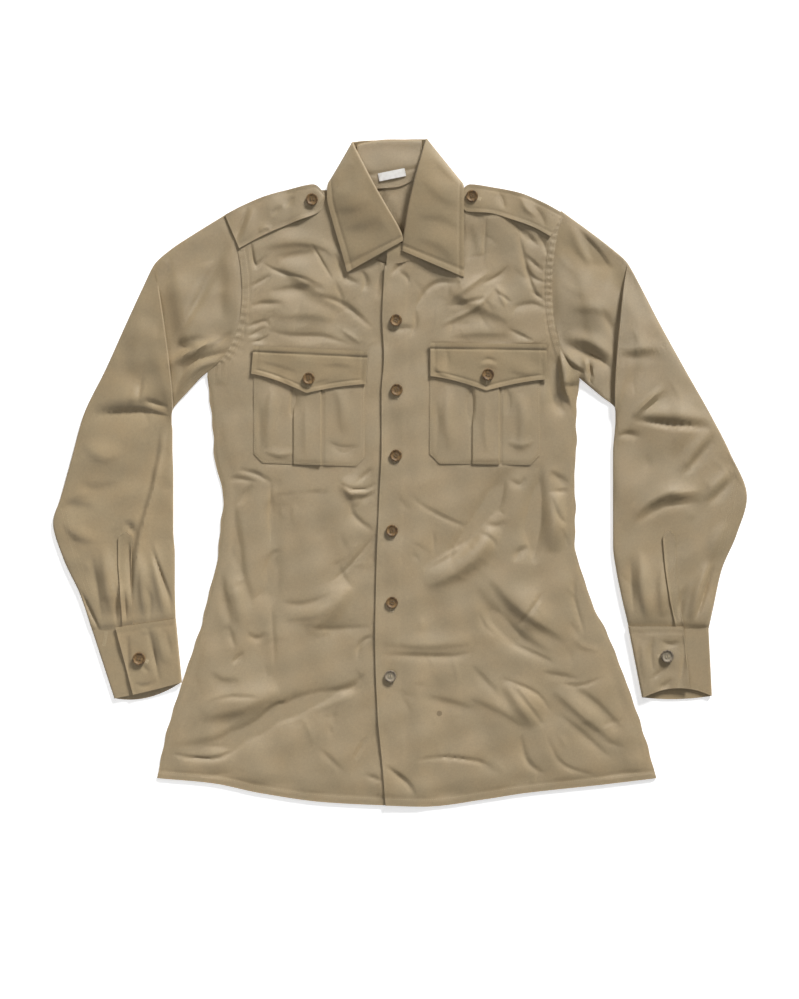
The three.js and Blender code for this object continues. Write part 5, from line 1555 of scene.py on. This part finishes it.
def sew_on(group, grid, path, raised=0.0, **settings):
    """A stitch line along a path in the plan, laid on the sheet."""
    height, ups = cloth_under(grid, *path.T)
    sew(group, with_height(path[None], height + raised)[0], ups, **settings)


def sew_buttonhole(group, grid, x, y, turn, drop=0.0):
    angle = math.radians(turn)
    along = np.array([math.cos(angle), math.sin(angle)])
    aside = np.array([-along[1], along[0]])
    middle = np.array([x, y]) - along * drop
    half = BUTTONHOLE["length"] / 2
    for side in (-1, 1):
        for at in np.arange(-half, half, BUTTONHOLE["pitch"]):
            centre = middle + along * at + aside * side * BUTTONHOLE["row"]
            ends = np.stack([centre - aside, centre + aside])
            sew_on(group, grid, ends, raised=0.1, pitch=1.9, size=0.95)


HOLE_SHEETS = {"pocket": flap_points, "strap": strap_points, "cuff": cuff_points}
for name, (_, turn) in BUTTONS.items():
    kind, side = name.split("_")
    sheet = fronts["right"] if kind == "front" else HOLE_SHEETS[kind][side]
    low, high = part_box(f"button_{name}")
    x, y = (low.x + high.x) / 2 / MM, (low.y + high.y) / 2 / MM
    sew_buttonhole("buttonholes", sheet, x, y, turn, BUTTONHOLE["drop"])
sew_buttonhole("cuff_left_stitches", cuff_points["left"], *SECOND_HOLE)
print("buttonhole stitches:", sum(len(line) for line in stitch_groups["buttonholes"]))

# %% [markdown]
# The seams that show are topstitched: one or two rows of small lockstitches, pulled a little
# into the cloth. Each row follows its own sheet at an even distance from its edge.

# %% Rows of topstitching
ARM = (SIDE_ROWS / (SIDE_ROWS + ARM_ROWS), 0.985)
BODY_ROWS = {
    "front_left": (fronts["left"], [(1.8, "left", *ARM), (8.6, "left", *ARM),
                                    (HEM_DEPTH, "bottom", 0.01, 0.99)]),
    "front_right": (fronts["right"], [(1.8, "right", *ARM), (8.6, "right", *ARM),
                                      (HEM_DEPTH, "bottom", 0.01, 0.99)]),
    "back": (back_points, [(1.8, "left", *ARM), (1.8, "right", *ARM),
                           (8.6, "left", *ARM), (8.6, "right", *ARM)]),
}
PAIR_ROWS = {
    "pocket": (pocket_points, [(1.8, "left", 0.01, 1), (1.8, "right", 0.01, 1),
                               (1.8, "bottom", 0.01, 0.99)]),
    "flap": (flap_points, [(5.5, "left", 0.06, 0.86), (5.5, "right", 0.06, 0.86),
                           (5.5, "top", 0.04, 0.96), (1.2, "bottom", 0.01, 0.99),
                           (7.0, "bottom", 0.01, 0.99)]),
    "shoulder_strap": (strap_points, [(3.6, "left", 0.05, 0.99), (3.6, "right", 0.05, 0.99),
                                      (2.4, "bottom", 0.1, 0.9)]),
    "cuff": (cuff_points, [(2.6, "top", 0.0, 0.26), (5.0, "bottom", 0.0, 0.26),
                           (2.0, "left", 0.05, 0.97)]),
    "sleeve_placket": (placket_points, [(1.6, "left", 0.05, 0.97), (1.6, "right", 0.05, 0.97)]),
}
COLLAR_ROWS = [(6.5, "right", 0.03, 0.26), (6.5, "right", 0.70, 0.97),
               (6.5, "bottom", 0.2, 0.93), (6.5, "top", 0.2, 0.93)]


def topstitch(group, points, rows):
    """rows are (inset in mm, edge, start, end), with start and end as shares of the edge."""
    for row in rows:
        sew_along(group, points, *row)


for name, (points, rows) in BODY_ROWS.items():
    topstitch(f"{name}_stitches", points, rows)
for side in SIDES:
    for name, (points, rows) in PAIR_ROWS.items():
        topstitch(f"{name}_{side}_stitches", points[side], rows)
topstitch("collar_stitches", leaf_points, COLLAR_ROWS)
print("topstitched groups:", len(stitch_groups))

# %% Seams of the sleeves and the label
SEAM_STEP = 3.0
SLEEVE_SEAMS = {
    "left": [([-424, -410, -391], [-45, -96, -152]), ([-418, -404, -385], [-47, -98, -152])],
    "right": [([423, 414, 403], [-12, -55, -99]), ([417, 408, 397], [-13, -56, -99])],
}
LABEL_SEAMS = {"columns": (1.2, 33.0), "rows": (0.8, 10.2)}
for side, seams in SLEEVE_SEAMS.items():
    for xs, ys in seams:
        count = max(3, int(np.hypot(np.diff(xs), np.diff(ys)).sum() / SEAM_STEP))
        sew_on(f"sleeve_{side}_stitches", sleeve_points[side], even_points(xs, ys, count))
for column in LABEL_SEAMS["columns"]:
    path, ups = on_grid(label_points, np.linspace(*LABEL_SEAMS["rows"], LABEL_ROWS), column)
    sew("label_stitches", path, ups, pitch=1.4, size=0.6)


# %% From stitches to meshes
def stitches_piece(group):
    places = np.concatenate(stitch_groups[group])
    count, size = places.shape[:2]
    faces = [[corner + k * size for corner in face] for k in range(count) for face in stitch_faces]
    mesh = bpy.data.meshes.new(group)
    mesh.from_pydata((places.reshape(-1, 3) * MM).tolist(), [], faces)
    mesh.polygons.foreach_set("use_smooth", [True] * len(faces))
    print(group, "stitches:", count)
    return new_object(group, mesh)


stitching = {group: stitches_piece(group) for group in stitch_groups}

# %% [markdown]
# Finishes are worked out by sums on each place of the surface, as a dyer's recipe would be: a
# base colour, a little more or less of it from yarn to yarn, and paler edges where the cloth
# has rubbed. A small class lets these sums be written like ordinary maths.

# %% Shader sums
class Signal:
    """One output of a material's nodes. Sums on it add Math nodes."""

    def __init__(self, tree, link=None):
        self.tree, self.link = tree, link

    def node(self, kind, settings=None, inputs=None, output=0):
        made = self.tree.nodes.new(kind)
        for name, value in (settings or {}).items():
            setattr(made, name, value)
        for name, value in (inputs or {}).items():
            if isinstance(value, Signal):
                self.tree.links.new(value.link, made.inputs[name])
            else:
                made.inputs[name].default_value = value
        return Signal(self.tree, made.outputs[output])

    def maths(self, operation, *values):
        return self.node("ShaderNodeMath", {"operation": operation}, dict(enumerate(values)))

    def __add__(self, other):
        return self.maths("ADD", self, other)

    def __radd__(self, other):
        return self.maths("ADD", other, self)

    def __sub__(self, other):
        return self.maths("SUBTRACT", self, other)

    def __rsub__(self, other):
        return self.maths("SUBTRACT", other, self)

    def __mul__(self, other):
        return self.maths("MULTIPLY", self, other)

    def __rmul__(self, other):
        return self.maths("MULTIPLY", other, self)

    def part(self, number):
        """One of a place's three parts: 0, 1 or 2."""
        return self.node("ShaderNodeSeparateXYZ", {}, {0: self}, output=number)

    def between(self, low, high):
        """0 below low and 1 above high, with an even rise."""
        settings = {"clamp": True, "interpolation_type": "SMOOTHSTEP"}
        return self.node("ShaderNodeMapRange", settings, {0: self, 1: low, 2: high, 3: 0.0, 4: 1.0})

    def noise(self, place, scale, detail=3.0, roughness=0.5):
        inputs = {"Vector": place, "Scale": scale, "Detail": detail, "Roughness": roughness}
        return self.node("ShaderNodeTexNoise", {}, inputs)

    def stretched(self, place, scale):
        settings = {"operation": "MULTIPLY"}
        return self.node("ShaderNodeVectorMath", settings, {0: place, 1: scale})

    def blend(self, share, first, second):
        settings = {"data_type": "RGBA"}
        return self.node("ShaderNodeMix", settings, {0: share, 6: first, 7: second}, output=2)

    def scaled_colour(self, colour, factor):
        settings = {"operation": "SCALE"}
        return self.node("ShaderNodeVectorMath", settings, {0: colour, 3: factor})


def new_finish(name, roughness, **constants):
    """A material with its own shader, the start of its sums, and each place on the surface."""
    material = bpy.data.materials.new(name)
    material.use_nodes = True
    tree = material.node_tree
    shader = tree.nodes["Principled BSDF"]
    shader.inputs["Roughness"].default_value = roughness
    for socket, value in constants.items():
        shader.inputs[socket.replace("_", " ")].default_value = value
    start = Signal(tree)
    return material, shader, start, start.node("ShaderNodeTexCoord", output="Object")


def feed(shader, socket, signal):
    signal.tree.links.new(signal.link, shader.inputs[socket])


def feed_bump(shader, height, distance):
    inputs = {"Height": height, "Distance": distance, "Strength": 1.0}
    feed(shader, "Normal", height.node("ShaderNodeBump", {}, inputs))


# %% [markdown]
# The cloth is a cotton twill. Its weave shows as fine slanting ridges, about half a millimetre
# apart, and single thicker yarns make faint streaks along the warp. Washing has made the
# colour cloudy and the edges paler. One small brown spot is left low on the front.

# %% Khaki twill
TWILL = {"colour": (0.375, 0.288, 0.168, 1), "ridge": 0.00058, "lean": 0.62,
         "height": 0.00013}
RIB = 0.0007
SPOT = {"place": (0.049, -0.301, 0.0), "edge": (0.0052, 0.0062), "colour": (0.12, 0.075, 0.035, 1)}


def twill_finish(name, colour):
    material, shader, start, place = new_finish(name, 0.6, Sheen_Weight=0.2, Sheen_Roughness=0.4)
    shader.inputs["Specular IOR Level"].default_value = 0.5
    cloth = start.node("ShaderNodeUVMap", {"uv_map": "cloth"})
    slant = (cloth.part(0) + cloth.part(1) * TWILL["lean"]) * (2 * math.pi / TWILL["ridge"])
    ridges = start.maths("SINE", slant) * 0.5 + 0.5
    warp = start.noise(start.stretched(cloth, (2600.0, 190.0, 1.0)), 1.0, 2.0)
    weft = start.noise(start.stretched(cloth, (150.0, 2300.0, 1.0)), 1.0, 2.0)
    clouds = start.noise(place, 30.0, 4.0)
    mottle = start.noise(place, 380.0, 3.0, 0.65)
    rubbed = start.node("ShaderNodeAttribute", {"attribute_name": "wear"}, output="Fac")
    patchy = start.noise(place, 420.0, 2.0).between(0.35, 0.7)
    wear = rubbed * (0.45 + patchy * 0.55)
    level = (0.88 + (clouds - 0.5) * 0.16 + (mottle - 0.5) * 0.24 + (warp - 0.5) * 0.22
             + (weft - 0.5) * 0.18 + ridges * 0.035 + wear * 0.09)
    spot = start.node("ShaderNodeVectorMath", {"operation": "DISTANCE"},
                      {0: place, 1: SPOT["place"]}, output="Value")
    above = place.part(2).between(0.002, 0.0028)
    uneven = start.noise(place, 1500.0, 2.0) * 0.0012
    stained = (1.0 - (spot + uneven).between(*SPOT["edge"])) * above * 0.55
    warm = tuple(np.multiply(colour, (1.02, 0.985, 0.95, 1)))
    warmer = start.blend(clouds.between(0.3, 0.75), colour, warm)
    dyed = start.blend(stained, warmer, SPOT["colour"])
    feed(shader, "Base Color", start.scaled_colour(dyed, level))
    feed(shader, "Roughness", 0.44 + mottle * 0.12 + wear * 0.05)
    slubs = warp * 0.5 + weft * 0.4 + mottle * 0.6
    feed_bump(shader, ridges * 0.6 + slubs, TWILL["height"])
    return material


def thread_finish(name, colour):
    """Sewing thread: smoother than the cloth, with a fine twist."""
    material, shader, start, place = new_finish(name, 0.6, Sheen_Weight=0.15)
    tone = 0.86 + start.noise(place, 900.0, 2.0) * 0.28
    feed(shader, "Base Color", start.scaled_colour(colour[:3], tone))
    feed_bump(shader, start.noise(place, 6000.0, 1.0), 0.00004)
    return material


def label_finish():
    material, shader, start, place = new_finish("Woven tape", 0.7, Sheen_Weight=0.2)
    down = start.node("ShaderNodeUVMap", {"uv_map": "cloth"}).part(1)
    ribs = start.maths("SINE", down * (2 * math.pi / RIB)) * 0.5 + 0.5
    soiled = start.noise(place, 180.0, 3.0).between(0.35, 0.8)
    white = start.blend(soiled * 0.5, (0.86, 0.84, 0.8, 1), (0.62, 0.58, 0.52, 1))
    feed(shader, "Base Color", start.scaled_colour(white, 0.94 + ribs * 0.06))
    feed_bump(shader, ribs, 0.00008)
    return material


# %% [markdown]
# The plastic of the buttons imitates horn: two browns run through each other in streaks, and
# the dished middle is worn paler than the rim.

# %% Button plastic
def button_finish(name, dark, light, middle, middle_share):
    material, shader, start, place = new_finish(name, 0.42)
    bent = start.noise(place, 130.0, 2.0)
    streaks = start.noise(start.stretched(place, (520.0, 240.0, 400.0)), 1.0, 4.0, 0.62)
    veins = (streaks * 0.75 + bent * 0.25).between(0.38, 0.62)
    dish = start.node("ShaderNodeAttribute", {"attribute_name": "dish"}, output="Fac")
    horn = start.blend(veins, dark, light)
    feed(shader, "Base Color", start.blend(dish * middle_share, horn, middle))
    feed(shader, "Roughness", 0.5 + streaks * 0.2)
    feed_bump(shader, streaks, 0.00008)
    return material


finishes = {
    "cloth": twill_finish("Khaki twill", TWILL["colour"]),
    # the topstitching thread is paler than the cloth: partly its own colour, partly a painted highlight
    # for the lit crests of the puckers along the seams
    "thread": thread_finish("Khaki thread with painted highlight", (0.43, 0.34, 0.205, 1)),
    "pale thread": thread_finish("Pale thread", (0.56, 0.46, 0.30, 1)),
    "label": label_finish(),
    "button": button_finish("Brown horn plastic", (0.075, 0.04, 0.015, 1), (0.23, 0.135, 0.05, 1),
                            (0.2, 0.12, 0.045, 1), 0.5),
    "button thread": thread_finish("Button thread", (0.16, 0.1, 0.045, 1)),
    "pale button": button_finish("Grey horn plastic", (0.09, 0.07, 0.045, 1), (0.25, 0.2, 0.14, 1),
                                 (0.34, 0.29, 0.21, 1), 0.6),
}
print("finishes:", len(finishes))

# %% [markdown]
# Every piece is given its finish, joined to the shirt's one body, and named as what it stands
# for. The table below lists the size that each sheet of cloth was cut to, and the construction
# parts that the sheets, the label and the buttons stand for are hidden.

# %% Finishes on pieces
for piece in list(bpy.data.objects):
    if piece.name.endswith("_cloth"):
        piece.data.materials.append(finishes["cloth"])
label.data.materials.append(finishes["label"])
for group, piece in stitching.items():
    thread = "pale thread" if group == "buttonholes" else "thread"
    piece.data.materials.append(finishes[thread])
for name in BUTTONS:
    pale = name in ("front_6", "cuff_right")
    buttons[name].data.materials.append(finishes["pale button" if pale else "button"])
    button_threads[name].data.materials.append(finishes["pale thread" if pale else "button thread"])
for piece in list(bpy.data.objects):
    if piece.type == "MESH" and piece.name not in frame["nodes"]:
        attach(piece, "root")

# %% Sheets, their cut sizes in metres, and the nodes they stand for
SHEETS = {
    "back": (0.63, 0.79, 0.357, "laid", ["floor"]),
    "front_left": (0.32, 0.78, 0.18, "laid", ["back_cloth"]),
    "front_right": (0.36, 0.78, 0.187, "laid", ["front_left_cloth", "back_cloth"]),
    "sleeve_left": (0.29, 0.52, 0.129, "folded", ["floor"]),
    "sleeve_right": (0.30, 0.52, 0.133, "folded", ["floor"]),
    "sleeve_placket_left": (0.017, 0.12, None, "laid", ["sleeve_left_cloth"]),
    "sleeve_placket_right": (0.014, 0.12, None, "laid", ["sleeve_right_cloth"]),
    "cuff_left": (0.21, 0.085, None, "folded", ["floor"]),
    "cuff_right": (0.21, 0.085, None, "folded", ["floor"]),
    "collar_leaf": (0.47, 0.095, 0.0275, "folded", ["collar_stand_cloth"]),
    "collar_stand": (0.42, 0.06, 0.0135, "folded", ["back_cloth"]),
    "pocket_left": (0.155, 0.14, 0.0205, "laid", ["front_left_cloth"]),
    "pocket_right": (0.155, 0.142, 0.021, "laid", ["front_right_cloth"]),
    "flap_left": (0.146, 0.058, 0.0067, "laid", ["pocket_left_cloth"]),
    "flap_right": (0.147, 0.06, 0.0074, "laid", ["pocket_right_cloth"]),
    "shoulder_strap_left": (0.138, 0.052, 0.0052, "laid", ["front_left_cloth"]),
    "shoulder_strap_right": (0.138, 0.04, 0.0043, "laid", ["front_right_cloth"]),
}
for node, (width, length, area, held, under) in SHEETS.items():
    piece = bpy.data.objects[f"{node}_cloth"]
    group = "collar_stitches" if node == "collar_leaf" else f"{node}_stitches"
    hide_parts(node)
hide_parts("neck_label")
for name in BUTTONS:
    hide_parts(f"button_{name}")

# %% [markdown]
# The shirt lies on a pale board and is seen straight from above. A lamp overhead would leave
# the folds flat, so a soft low sun shines from beyond the collar, a little from the right, and
# a broad lamp stands there too. A third lamp fills from the hem, so that the dark side of each
# fold keeps its colour. The board glows a little, which keeps it nearly white.

# %% Board, lamps and camera
select_only()
bpy.ops.mesh.primitive_plane_add(size=14, location=(0, 0, -0.0002))
board = bpy.context.object
board.name = "floor"
board_finish, board_shader, start, place = new_finish("Pale board", 0.85, Emission_Strength=0.45)
board_shader.inputs["Emission Color"].default_value = (1, 1, 1, 1)
grain = start.noise(place, 9.0, 3.0)
feed(board_shader, "Base Color", start.scaled_colour((0.93, 0.93, 0.93), 0.99 + grain * 0.02))
board.data.materials.append(board_finish)
board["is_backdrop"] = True

LAMPS = {
    "top lamp": {"kind": "AREA", "place": (0.45, 1.7, 2.7), "size": 0.9, "power": 7},
    "key lamp": {"kind": "SUN", "place": (1.7, 3.1, 1.5), "size": 0.25, "power": 5.1},
    "fill lamp": {"kind": "AREA", "place": (-1.0, -0.9, 1.9), "size": 1.1, "power": 13},
}
for name, lamp in LAMPS.items():
    light = bpy.data.lights.new(name, lamp["kind"])
    light.energy = lamp["power"]
    if lamp["kind"] == "SUN":
        light.angle = lamp["size"]
    else:
        light.shape, light.size = "DISK", lamp["size"]
    stand = new_object(name, light)
    stand.location = lamp["place"]
    stand.rotation_euler = (-stand.location).to_track_quat("-Z", "Y").to_euler()

world = bpy.data.worlds.new("Soft room")
world.use_nodes = True
background = world.node_tree.nodes["Background"].inputs
background["Color"].default_value = (1, 1, 1, 1)
background["Strength"].default_value = 0.1
bpy.context.scene.world = world
bpy.context.scene.view_settings.view_transform = "Standard"

lens = bpy.data.cameras.new("camera")
lens.lens, lens.sensor_width, lens.clip_end = 85, 36, 20
camera = new_object("camera", lens)
camera.location = (-0.0006, -0.0331, 2.955)
bpy.context.scene.camera = camera

# %% [markdown]
# The boxes of the finished shirt and of its construction model are measured in metres and
# printed side by side, so that they can be compared.

# %% Print the boxes of the shirt and of its construction model
shirt_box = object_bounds()
for name, (low, high) in {"construction": cad_box, "shirt": shirt_box}.items():
    print(name, [round(v, 5) for v in low], [round(v, 5) for v in high])
